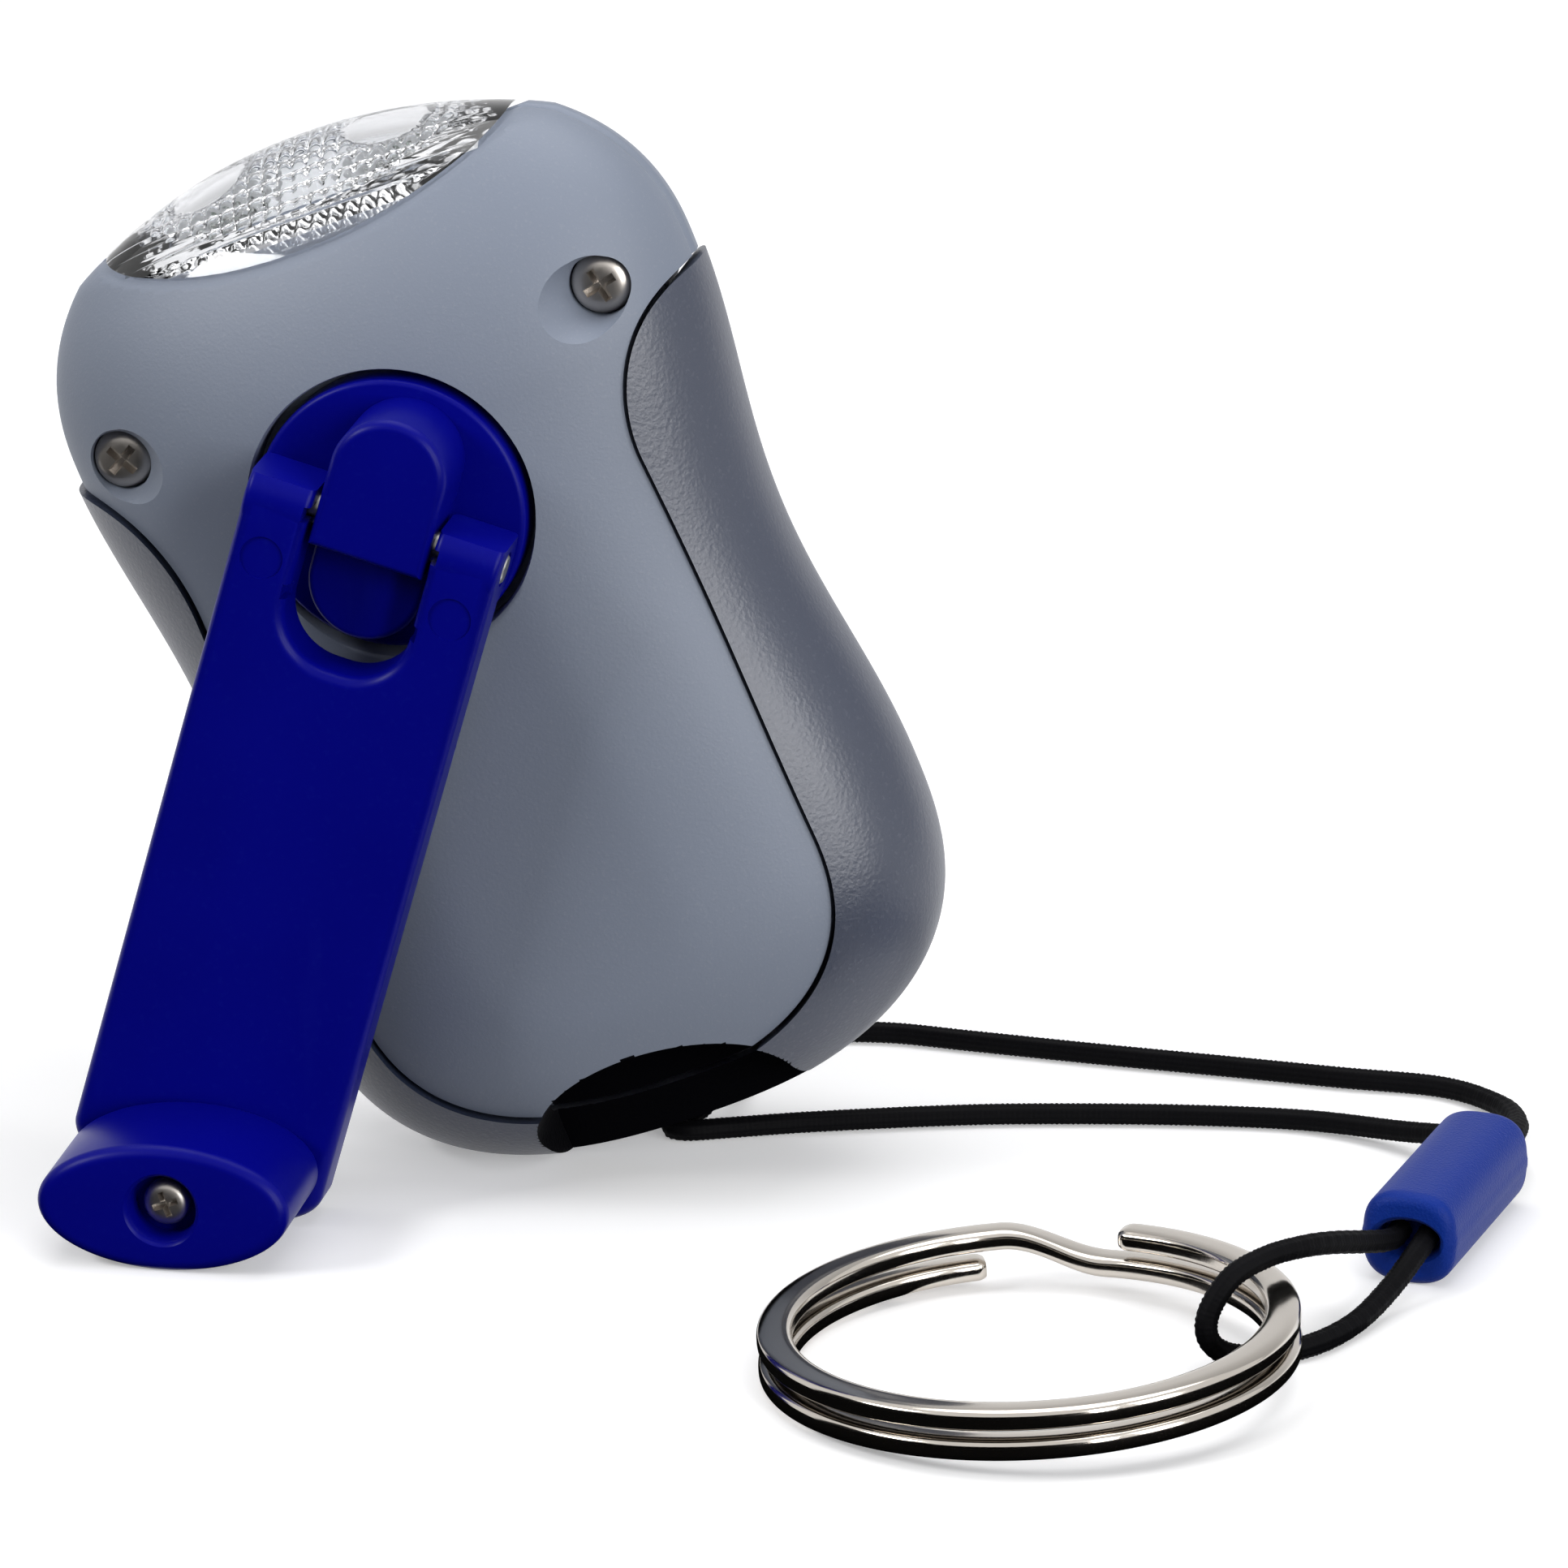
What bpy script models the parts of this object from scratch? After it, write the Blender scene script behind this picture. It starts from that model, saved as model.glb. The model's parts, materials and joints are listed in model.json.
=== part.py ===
"""Key-ring dynamo torch with a folding crank, shown unfolded and propped on its crank knob.

Metres, +Z up. The housing is modelled upright in its own frame: X across, Y from the rear (crank side)
to the front, Z towards the lens, with the crank axis through the origin. A tilted empty then stands it
as it lies on a table. The cord, the slider and the key ring lie on the table beside it.
"""

import math

import bmesh
import bpy
from mathutils import Matrix, Vector

MM = 0.001

# Housing outline, seen from the rear
BASE_HALF = 19.6 * MM
BASE_Z = -26.5 * MM
BASE_DROP = 15.0 * MM
BASE_POWER = 2.6
WAIST_HALF = 18.0 * MM
WAIST_Z = -9.6 * MM
HEAD_HALF = 19.7 * MM
HEAD_Z = 7.6 * MM
HEAD_RISE = 13.9 * MM
HEAD_POWER = 2.2
LENS_SIDE_STEP = 6.0 * MM
LENS_HALF = HEAD_HALF - LENS_SIDE_STEP
LENS_CORNER_Z = 17.8 * MM
LENS_CROWN = 2.9 * MM

# Housing depth
DEPTH_HALF = 11.1 * MM
FLAT_HALF = 10.7 * MM
SECTION_POWER = 2.2
CAVITY_POWER = 2.6
NOSE_Z = 4.0 * MM
NOSE_POWER = 1.8
SEAT_SAG = 2.7 * MM
SEAT_SAG_AT = 7.6 * MM

# Walls, gaps and the grip
GAP = 0.3 * MM
GRIP_WALL = 2.0 * MM
GRIP_PROUD = 0.4 * MM
SHELL_WALL = 1.6 * MM
LENS_WALL = 1.4 * MM
GRIP_WAIST_BAND = 4.0 * MM
GRIP_FOOT_BAND = 4.8 * MM
PANEL_NECK_HALF = WAIST_HALF - GRIP_WAIST_BAND
PANEL_NECK_Z = -2.3 * MM
PANEL_SHOULDER_Z = 6.4 * MM
PANEL_SHOULDER_RUN = 0.8 * MM
PANEL_SHOULDER_X = HEAD_HALF + PANEL_SHOULDER_RUN
PANEL_FOOT_HALF = BASE_HALF - GRIP_FOOT_BAND
PANEL_FOOT_Z = -27.0 * MM
PANEL_FOOT_DROP = 10.9 * MM
PANEL_FOOT_POWER = 2.4

# Case screws
CASE_SCREW_INSET = 4.4 * MM
CASE_SCREW_X = HEAD_HALF - CASE_SCREW_INSET
CASE_SCREW_Z = 7.4 * MM
CASE_SCREW_HEAD_RADIUS = 1.8 * MM
CASE_SCREW_HEAD_HEIGHT = 1.3 * MM
CASE_SCREW_RADIUS = 0.9 * MM
CASE_SCREW_LENGTH = 9.0 * MM
CASE_SCREW_TOP_Y = -5.8 * MM
SCREW_BOSS_WALL = 1.7 * MM

# Crank
HUB_RADIUS = 7.9 * MM
HUB_RECESS_GAP = 0.5 * MM
HUB_THICKNESS = 2.7 * MM
HUB_PROUD = 0.1 * MM
HUB_SHAFT_RADIUS = 1.8 * MM
BLOCK_WIDTH = 6.8 * MM
BLOCK_HALF_LENGTH = 7.1 * MM
BLOCK_STEP = 1.5 * MM
BLOCK_LOW_HEIGHT = 2.2 * MM
BLOCK_CROWN = 2.4 * MM
BLOCK_HIGH_EDGE = 0.4 * MM
HUB_EDGE = 0.3 * MM
PIN_RADIUS = 0.9 * MM
PIN_HALF_LENGTH = 7.2 * MM
PIN_STANDOFF = 2.6 * MM
FOLDED_GAP = 0.4 * MM
ARM_HALF_WIDTH = 7.6 * MM
ARM_THICKNESS = 3.6 * MM
ARM_TIP = 1.6 * MM
ARM_SLOT_END = 8.3 * MM
ARM_SLOT_CORNER = 3.3 * MM
ARM_END_DROP = 3.3 * MM
ARM_BEVEL = 0.5 * MM
CRANK_RADIUS = 39.4 * MM

# Knob
KNOB_HALF_LENGTH = 7.4 * MM
KNOB_HALF_WIDTH = 3.8 * MM
KNOB_HEIGHT = 8.3 * MM
KNOB_BEVEL = 0.5 * MM
KNOB_HOLE_RADIUS = 1.95 * MM
KNOB_WEB = 2.6 * MM
KNOB_SCREW_HEAD_RADIUS = 1.3 * MM
KNOB_SCREW_HEAD_HEIGHT = 1.0 * MM
KNOB_SCREW_RADIUS = 0.65 * MM
KNOB_SCREW_GRIP = 2.4 * MM
KNOB_RECESS_GAP = 0.5 * MM

# Gears: teeth counts, module and face widths
GEAR_MODULE = 0.45 * MM
PRESSURE_ANGLE = math.radians(20)
ADDENDUM = 0.85
DEDENDUM = 1.15
BACKLASH = 0.12
DRIVE_TEETH = 40
PINION_TEETH = 10
WHEEL_ONE_TEETH = 32
WHEEL_TWO_TEETH = 28
DRIVE_FACE = 1.5 * MM
WHEEL_FACE = 1.2 * MM
AXLE_RADIUS = 0.75 * MM
AXLE_GAP = 0.15 * MM
GEAR_ONE_X = 3.0 * MM
ROTOR_Z = -24.0 * MM
PLATE_THICKNESS = 1.0 * MM
PLATE_TOP_Z = 3.5 * MM

# Generator
MAGNET_RADIUS = 5.5 * MM
MAGNET_LENGTH = 4.0 * MM
POLE_GAP = 0.4 * MM
POLE_LAP = 1.2 * MM
CORE_LIMB = 2.4 * MM
CORE_THICKNESS = 2.0 * MM
YOKE_Z = -12.6 * MM
YOKE_HALF_HEIGHT = 1.3 * MM
COIL_HALF_LENGTH = 4.5 * MM
COIL_WALL = 0.9 * MM

# Light end
LED_RADIUS = 2.5 * MM
LED_HEIGHT = 7.6 * MM
LED_FLANGE_RADIUS = 2.9 * MM
LED_FLANGE_HEIGHT = 1.0 * MM
LED_BOARD_Z = 7.6 * MM
LED_BOARD_THICKNESS = 1.0 * MM
BAY_SIDE_WALL = 1.0 * MM
BAY_HALF_LENGTH = LENS_HALF - LENS_WALL - BAY_SIDE_WALL
BAY_HALF_DEPTH = 4.2 * MM
CUP_RADIUS = 3.7 * MM
REFLECTOR_HEIGHT = 6.5 * MM

# Power and switch
CELL_RADIUS = 8.0 * MM
CELL_THICKNESS = 5.2 * MM
CELL_EDGE = 0.5 * MM
CELL_Z = -1.0 * MM
BOARD_HALF_WIDTH = 7.8 * MM
BOARD_LENGTH = 17.0 * MM
BOARD_THICKNESS = 0.9 * MM
BUTTON_Z = 3.0 * MM
BUTTON_RADIUS = 3.2 * MM
BUTTON_PROUD = 0.6 * MM
BUTTON_FLANGE = 0.7 * MM
BUTTON_FLANGE_HEIGHT = 0.6 * MM
BUTTON_TRAVEL = 0.4 * MM
BUTTON_EDGE = 0.3 * MM
BUTTON_LIP = 1.2 * MM
SWITCH_WIDTH = 4.0 * MM

# Lanyard
LANYARD_BAR_RADIUS = 0.8 * MM
LANYARD_BAR_Y = 4.5 * MM
LANYARD_BAR_Z = -36.5 * MM
LANYARD_BAR_SEAT = 1.2 * MM
LANYARD_SLOT_HALF = 3.4 * MM
CORD_RADIUS = 0.65 * MM
SLIDER_LENGTH = 15.4 * MM
SLIDER_HALF_WIDTH = 2.85 * MM
SLIDER_HALF_HEIGHT = 2.75 * MM
SLIDER_POWER = 2.8
SLIDER_EDGE = 0.5 * MM
SLIDER_HOLE_HALF_WIDTH = 1.9 * MM
SLIDER_HOLE_HALF_HEIGHT = 1.1 * MM
SLIDER_POCKET = 2.0 * MM
SLIDER_SPOT = Vector((60.85, -6.6)) * MM
SLIDER_TURN = math.radians(-10.6)
RING_RADIUS = 15.1 * MM
RING_WIRE_WIDTH = 2.0 * MM
RING_WIRE_HEIGHT = 1.3 * MM
RING_WIRE_SQUARENESS = 0.7
RING_TURN_GAP = 0.42 * MM
RING_SPOT = Vector((40.6, -32.0)) * MM
RING_TILT = math.radians(3.5)
RING_KINK_TURN = math.radians(93.0)
RING_KINK_SPAN = math.radians(25.0)
RING_END_GAP = math.radians(4.0)

# How it lies on the table
ROLL = math.radians(22.6)

# Cord routes, from the point of the table under the crank axis. The first runs from the slider along the
# far strand, over the lanyard bar and back along the near strand, the second round the key ring's wire.
CORD_POINT_SPACING = 2.6 * MM
LANYARD_ROUTE = (
    (62.8, -0.9, 2.75), (63.2, 1.6, 2.75), (63.6, 5.5, 2.3), (63.2, 10.5, 1.4), (61.6, 14.8, 0.8),
    (58.0, 17.6, 0.65), (51.7, 18.2, 0.65), (44.2, 19.0, 0.65), (36.3, 19.8, 0.65), (28.9, 20.7, 0.65),
    (23.4, 21.3, 0.65), (19.0, 20.2, 0.65), (16.7, 16.4, 0.65), (16.3, 12.0, 0.8), (16.5, 8.6, 1.6),
    (16.0, 6.5, 3.2), (14.8, 6.25, 6.1), (14.03, 6.25, 8.0), (13.52, 5.74, 9.15), (13.35, 4.5, 9.63),
    (13.52, 3.26, 9.15), (14.03, 2.75, 8.0), (14.9, 2.75, 5.9), (15.9, 2.8, 3.3), (15.5, 3.2, 1.9),
    (14.2, 3.4, 0.9), (13.6, 2.6, 0.65), (14.6, 2.0, 0.65), (17.2, 3.0, 0.65), (21.7, 4.8, 0.65),
    (28.7, 7.1, 0.65), (34.3, 8.5, 0.65), (43.0, 9.9, 0.65), (50.5, 10.2, 0.7), (56.5, 8.0, 1.2),
    (60.2, 4.9, 2.2), (61.5, 1.9, 2.75), (61.12, -0.6, 2.75),
)
LOOP_ROUTE = (
    (58.9, -12.4, 2.75), (58.5, -14.6, 2.9), (57.4, -17.8, 3.9), (56.0, -21.4, 5.1), (54.6, -24.2, 5.8),
    (52.9, -26.4, 5.9), (51.2, -28.1, 5.2), (50.1, -29.1, 3.4), (50.2, -29.4, 1.9), (51.4, -28.8, 0.9),
    (53.5, -27.6, 0.65), (55.8, -25.5, 0.65), (57.6, -22.1, 0.75), (59.0, -18.4, 1.4), (60.2, -15.0, 2.5),
    (60.6, -12.7, 2.75),
)

FLIP_UP = (math.radians(90), 0, 0)
FLIP_DOWN = (math.radians(-90), 0, 0)


# Scene and helpers
for old in list(bpy.data.objects):
    bpy.data.objects.remove(old, do_unlink=True)

parts = bpy.data.collections.new("dynamo_torch")
cutters = bpy.data.collections.new("cutters")
bpy.context.scene.collection.children.link(parts)
bpy.context.scene.collection.children.link(cutters)


def make_material(name, colour, roughness, metallic=0.0):
    material = bpy.data.materials.new(name)
    material.use_nodes = True
    shader = material.node_tree.nodes["Principled BSDF"]
    shader.inputs["Base Color"].default_value = (*colour, 1.0)
    shader.inputs["Roughness"].default_value = roughness
    shader.inputs["Metallic"].default_value = metallic
    return material


SHELL_GREY = make_material("shell_grey", (0.19, 0.20, 0.24), 0.55)
GRIP_SLATE = make_material("grip_slate", (0.05, 0.06, 0.09), 0.65)
CRANK_BLUE = make_material("crank_blue", (0.004, 0.005, 0.14), 0.35)
SLIDER_BLUE = make_material("slider_blue", (0.01, 0.05, 0.28), 0.5)
CLEAR = make_material("clear_plastic", (0.80, 0.82, 0.84), 0.08)
WHITE = make_material("white_plastic", (0.80, 0.80, 0.80), 0.4)
STEEL = make_material("steel", (0.55, 0.53, 0.50), 0.25, 1.0)
GEAR_WHITE = make_material("gear_plastic", (0.70, 0.70, 0.66), 0.45)
MAGNET_GREY = make_material("magnet", (0.08, 0.08, 0.09), 0.5, 0.6)
COPPER = make_material("copper", (0.60, 0.22, 0.09), 0.35, 0.9)
BOARD_GREEN = make_material("board", (0.02, 0.15, 0.05), 0.5)
CORD_BLACK = make_material("cord", (0.01, 0.01, 0.012), 0.8)


def place(item, group):
    for owner in list(item.users_collection):
        owner.objects.unlink(item)
    group.objects.link(item)
    item.hide_render = group is cutters
    item.display_type = "WIRE" if group is cutters else "TEXTURED"
    return item


def finish(item, material, crease=40):
    """Put a part in its collection with its material, round faces smooth."""
    place(item, parts)
    item.data.materials.clear()
    item.data.materials.append(material)
    item.data.shade_smooth()
    item.data.set_sharp_from_angle(angle=math.radians(crease))
    return item


def mesh_item(name, shape):
    bmesh.ops.recalc_face_normals(shape, faces=shape.faces)
    mesh = bpy.data.meshes.new(name)
    shape.to_mesh(mesh)
    shape.free()
    item = bpy.data.objects.new(name, mesh)
    return place(item, cutters)


def boolean(item, tool, operation="DIFFERENCE", solver="MANIFOLD"):
    cut = item.modifiers.new(tool.name, "BOOLEAN")
    cut.operation = operation
    cut.solver = solver
    cut.object = tool
    return item


def bevel(item, width, segments=2, angle=35):
    edge = item.modifiers.new("edge", "BEVEL")
    edge.width = width
    edge.segments = segments
    edge.limit_method = "ANGLE"
    edge.angle_limit = math.radians(angle)
    return item


def curve_to_mesh(curve_item, name):
    """A curve's evaluated mesh with its caps welded, in the curve's place."""
    place(curve_item, cutters)
    bpy.context.view_layer.update()
    ready = curve_item.evaluated_get(bpy.context.evaluated_depsgraph_get())
    mesh = bpy.data.meshes.new_from_object(ready)
    shape = bmesh.new()
    shape.from_mesh(mesh)
    bmesh.ops.remove_doubles(shape, verts=shape.verts, dist=0.001 * MM)
    shape.to_mesh(mesh)
    shape.free()
    mesh.name = name
    item = bpy.data.objects.new(name, mesh)
    item.matrix_world = curve_item.matrix_world
    bpy.data.objects.remove(curve_item, do_unlink=True)
    return place(item, cutters)


def slab(name, outlines, rear, front, at=(0.0, 0.0)):
    """Flat outlines in X and Z, the second and later ones holes, from y = rear to y = front."""
    curve = bpy.data.curves.new(name, "CURVE")
    curve.dimensions = "2D"
    curve.fill_mode = "BOTH"
    curve.extrude = (front - rear) / 2
    for outline in outlines:
        run = curve.splines.new("POLY")
        run.points.add(len(outline) - 1)
        for point, (x, z) in zip(run.points, outline):
            point.co = (x, z, 0, 1)
        run.use_cyclic_u = True
    item = bpy.data.objects.new(name + "_outline", curve)
    item.location = (at[0], (rear + front) / 2, at[1])
    item.rotation_euler = FLIP_UP
    return curve_to_mesh(item, name)


def ellipse(half_x, half_z, count=32, centre=(0.0, 0.0)):
    turns = [2 * math.pi * step / count for step in range(count)]
    return [(centre[0] + half_x * math.cos(a), centre[1] + half_z * math.sin(a)) for a in turns]


def round_bar(name, radius, rear, front, at=(0.0, 0.0), sides=24):
    """A cylinder along Y at x, z = at."""
    bpy.ops.mesh.primitive_cylinder_add(
        vertices=sides,
        radius=radius,
        depth=front - rear,
        location=(at[0], (rear + front) / 2, at[1]),
        rotation=FLIP_UP,
    )
    item = bpy.context.object
    item.name = name
    return place(item, cutters)


def box(name, low, high):
    bpy.ops.mesh.primitive_cube_add(size=1)
    item = bpy.context.object
    item.name = name
    size = Vector(high) - Vector(low)
    item.data.transform(Matrix.Diagonal((*size, 1.0)))
    item.location = (Vector(high) + Vector(low)) / 2
    return place(item, cutters)


def turned(name, profile, steps=24):
    """A Screw about local Z of a profile given from its top down, as radius and height."""
    shape = bmesh.new()
    corners = [shape.verts.new((radius, 0, height)) for radius, height in profile]
    for first, second in zip(corners, corners[1:]):
        shape.edges.new((first, second))
    mesh = bpy.data.meshes.new(name)
    shape.to_mesh(mesh)
    shape.free()
    item = bpy.data.objects.new(name, mesh)
    screw = item.modifiers.new("turn", "SCREW")
    screw.steps = steps
    screw.render_steps = steps
    screw.use_merge_vertices = True
    screw.merge_threshold = 0.001 * MM
    return place(item, cutters)


def smooth_route(points, spacing):
    """Points on the smooth curve through the route's own points, no further apart than the spacing."""
    padded = [2 * points[0] - points[1], *points, 2 * points[-1] - points[-2]]
    spots = []
    for before, start, end, after in zip(padded, padded[1:], padded[2:], padded[3:]):
        steps = max(1, round((end - start).length / spacing))
        for step in range(steps):
            t = step / steps
            linear = (end - before) * t
            square = (2 * before - 5 * start + 4 * end - after) * t**2
            cube = (3 * start - before - 3 * end + after) * t**3
            spots.append(0.5 * (2 * start + linear + square + cube))
    spots.append(points[-1])
    return spots


def tube(name, spots, radius):
    curve = bpy.data.curves.new(name, "CURVE")
    curve.dimensions = "3D"
    curve.bevel_depth = radius
    curve.bevel_resolution = 2
    curve.use_fill_caps = True
    run = curve.splines.new("POLY")
    run.points.add(len(spots) - 1)
    for point, spot in zip(run.points, spots):
        point.co = (*spot, 1)
    item = bpy.data.objects.new(name, curve)
    return place(item, parts)


# Sizes that follow from the driving ones
APEX_Z = LENS_CORNER_Z + LENS_CROWN
CROWN_RADIUS = (LENS_HALF**2 + LENS_CROWN**2) / (2 * LENS_CROWN)
CORE_INSET = GRIP_WALL + GAP
CAVITY_INSET = CORE_INSET + SHELL_WALL
CAVITY_FLOOR = FLAT_HALF - CAVITY_INSET
HUB_FACE_Y = -FLAT_HALF - HUB_PROUD
HUB_BACK_Y = HUB_FACE_Y + HUB_THICKNESS
FOLDED_FACE_Y = -FLAT_HALF - FOLDED_GAP
PIN_Y = FOLDED_FACE_Y - PIN_STANDOFF
ARM_FACE_Y = PIN_Y - PIN_STANDOFF
KNOB_FOOT_Y = ARM_FACE_Y - GAP
KNOB_END_Y = KNOB_FOOT_Y - KNOB_HEIGHT
KNOB_FOLDED_END_Y = FOLDED_FACE_Y + GAP + KNOB_HEIGHT
RECESS_FLOOR_Y = KNOB_FOLDED_END_Y + KNOB_RECESS_GAP

DRIVE_REAR = -CAVITY_FLOOR + GAP
DRIVE_FRONT = DRIVE_REAR + DRIVE_FACE
WHEEL_ONE_REAR = DRIVE_FRONT + GAP
WHEEL_ONE_FRONT = WHEEL_ONE_REAR + WHEEL_FACE
WHEEL_TWO_REAR = WHEEL_ONE_FRONT + GAP
WHEEL_TWO_FRONT = WHEEL_TWO_REAR + WHEEL_FACE
PLATE_REAR = WHEEL_TWO_FRONT + GAP
PLATE_FRONT = PLATE_REAR + PLATE_THICKNESS
INNER_REAR = PLATE_FRONT + GAP
BOARD_REAR = INNER_REAR + CELL_THICKNESS + GAP
BOARD_FRONT = BOARD_REAR + BOARD_THICKNESS


def superellipse(share, power):
    """What is left of one half-size at this share of the other."""
    return max(0.0, 1.0 - min(1.0, abs(share)) ** power) ** (1.0 / power)


def signed_power(value, power):
    return math.copysign(abs(value) ** power, value)


def ease(low, high, share):
    return low + (high - low) * (1 - math.cos(math.pi * share)) / 2


def half_width(z, inset=0.0):
    """Half the housing's width at height z, drawn in by the inset."""
    if z < BASE_Z:
        return (BASE_HALF - inset) * superellipse((BASE_Z - z) / (BASE_DROP - inset), BASE_POWER)
    if z < WAIST_Z:
        return ease(WAIST_HALF, BASE_HALF, (WAIST_Z - z) / (WAIST_Z - BASE_Z)) - inset
    if z < HEAD_Z:
        return ease(WAIST_HALF, HEAD_HALF, (z - WAIST_Z) / (HEAD_Z - WAIST_Z)) - inset
    head = (HEAD_HALF - inset) * superellipse((z - HEAD_Z) / (HEAD_RISE - inset), HEAD_POWER)
    rise = z - (APEX_Z - CROWN_RADIUS)
    dome = math.sqrt(max(0.0, (CROWN_RADIUS - inset) ** 2 - rise**2))
    return min(head, dome)


def half_depth(z, inset=0.0):
    """Half the housing's depth at height z, before its front and rear are flattened."""
    depth = DEPTH_HALF - inset
    if z < BASE_Z:
        return depth * superellipse((BASE_Z - z) / (BASE_DROP - inset), BASE_POWER)
    if z > NOSE_Z:
        return depth * superellipse((z - NOSE_Z) / (APEX_Z - NOSE_Z - inset), NOSE_POWER)
    return depth


def seat_z(y, lift=0.0):
    """The curved joint between the housing and the lens."""
    return LENS_CORNER_Z + lift - SEAT_SAG * (y / SEAT_SAG_AT) ** 2


def body_loft(name, inset=0.0, inner=False, power=SECTION_POWER):
    """The housing's form, drawn in by the inset: a loft of flattened superellipses with closed ends."""
    sides = 28
    low_steps, middle, high_steps = (5, 6, 6) if inner else (7, 8, 9)
    bottom = BASE_Z - BASE_DROP + inset
    top = APEX_Z - inset
    low_turns = [math.radians(84) * (low_steps - step) / low_steps for step in range(low_steps)]
    high_turns = [math.radians(84) * (step + 1) / high_steps for step in range(high_steps)]
    levels = [BASE_Z - (BASE_Z - bottom) * math.sin(turn) for turn in low_turns]
    levels += [BASE_Z + (NOSE_Z - BASE_Z) * step / middle for step in range(middle + 1)]
    levels += [NOSE_Z + (top - NOSE_Z) * math.sin(turn) for turn in high_turns]
    shape = bmesh.new()
    rings = []
    for z in levels:
        width = half_width(z, inset)
        depth = half_depth(z, inset)
        flat = FLAT_HALF - inset
        ring = []
        for step in range(sides):
            turn = 2 * math.pi * (step + 0.5) / sides
            x = width * signed_power(math.cos(turn), 2 / power)
            y = depth * signed_power(math.sin(turn), 2 / power)
            ring.append(shape.verts.new((x, max(-flat, min(flat, y)), z)))
        rings.append(ring)
    for lower, upper in zip(rings, rings[1:]):
        for step in range(sides):
            after = (step + 1) % sides
            shape.faces.new((lower[step], lower[after], upper[after], upper[step]))
    for ring, height in ((rings[0], bottom), (rings[-1], top)):
        pole = shape.verts.new((0, 0, height))
        for step in range(sides):
            shape.faces.new((ring[step], ring[(step + 1) % sides], pole))
    return mesh_item(name, shape)


def mirrored(half):
    """A closed outline from its right half, listed from the top down."""
    return half + [(-x, z) for x, z in reversed(half) if x > 0]


def panel_outline(spread=0.0):
    """The bare panel inside the grip, open wide above the grip's shoulders."""
    far = 2 * HEAD_HALF
    neck = PANEL_NECK_HALF + spread
    shoulder = PANEL_SHOULDER_Z - spread
    foot = PANEL_FOOT_HALF + spread
    drop = PANEL_FOOT_DROP + spread
    half = [(far, far), (far, shoulder)]
    for step in range(9):
        turn = math.radians(90) * (1 - step / 8)
        x = PANEL_SHOULDER_X - (PANEL_SHOULDER_X - neck) * math.cos(turn)
        half.append((x, PANEL_NECK_Z + (shoulder - PANEL_NECK_Z) * math.sin(turn)))
    for step in range(11):
        share = math.sin(math.radians(90) * step / 10)
        half.append((foot * superellipse(share, PANEL_FOOT_POWER), PANEL_FOOT_Z - drop * share))
    return mirrored(half)


def knob_bay_outline(spread):
    """The recess that takes the folded knob, open at the bottom."""
    half_x = KNOB_HALF_LENGTH + spread
    half_z = KNOB_HALF_WIDTH + spread
    turns = [math.pi * step / 16 for step in range(17)]
    arch = [(half_x * math.cos(a), -CRANK_RADIUS + half_z * math.sin(a)) for a in turns]
    deep = -2 * CRANK_RADIUS
    return arch + [(-half_x, deep), (half_x, deep)]


def seat_block(name, lift):
    """Everything above the joint between the housing and the lens."""
    reach = 1.3 * FLAT_HALF
    spots = [reach * (step / 8 - 1) for step in range(17)]
    outline = [(y, seat_z(y, lift)) for y in spots] + [(reach, 2 * APEX_Z), (-reach, 2 * APEX_Z)]
    item = slab(name, [outline], -1.5 * HEAD_HALF, 1.5 * HEAD_HALF)
    item.matrix_world = Matrix.Rotation(math.radians(90), 4, "Z") @ item.matrix_world
    return item


# Cutters that several pieces share
FAR = 3 * HEAD_HALF
SLOT_HALF_DEPTH = LANYARD_BAR_RADIUS + 2 * CORD_RADIUS + 2 * GAP
BAR_HALF_LENGTH = LANYARD_SLOT_HALF + LANYARD_BAR_SEAT

panel = slab("panel", [panel_outline()], -FAR, FAR)
above_seat = seat_block("above_seat", 0.0)
knob_bay = slab("knob_bay", [knob_bay_outline(KNOB_RECESS_GAP)], -FAR, RECESS_FLOOR_Y)
lanyard_slot = box(
    "lanyard_slot",
    (-LANYARD_SLOT_HALF, LANYARD_BAR_Y - SLOT_HALF_DEPTH, -FAR),
    (LANYARD_SLOT_HALF, LANYARD_BAR_Y + SLOT_HALF_DEPTH, LANYARD_BAR_Z + SLOT_HALF_DEPTH),
)
light_bay = box(
    "light_bay",
    (-BAY_HALF_LENGTH, -BAY_HALF_DEPTH, LED_BOARD_Z - GAP),
    (BAY_HALF_LENGTH, BAY_HALF_DEPTH, FAR),
)
screw_spots = ((-CASE_SCREW_X, CASE_SCREW_Z), (CASE_SCREW_X, CASE_SCREW_Z))


def cavity(name, solid_boss):
    """The hollow in a shell, less the bosses that stand in it."""
    hollow = body_loft(name, CAVITY_INSET, True, CAVITY_POWER)
    boolean(hollow, solid_boss)
    for side, spot in zip(("left", "right"), screw_spots):
        boss = round_bar(
            f"{name}_boss_{side}", CASE_SCREW_RADIUS + GAP + SCREW_BOSS_WALL, -FAR, FAR, spot
        )
        boolean(hollow, boss)
    return hollow


def shell_blank(name):
    """The housing's bare panel and, under the grip, the core that the grip wraps."""
    item = body_loft(name)
    boolean(item, panel, "INTERSECT")
    boolean(item, body_loft(name + "_core", CORE_INSET, True), "UNION")
    boolean(item, above_seat)
    return item


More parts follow.
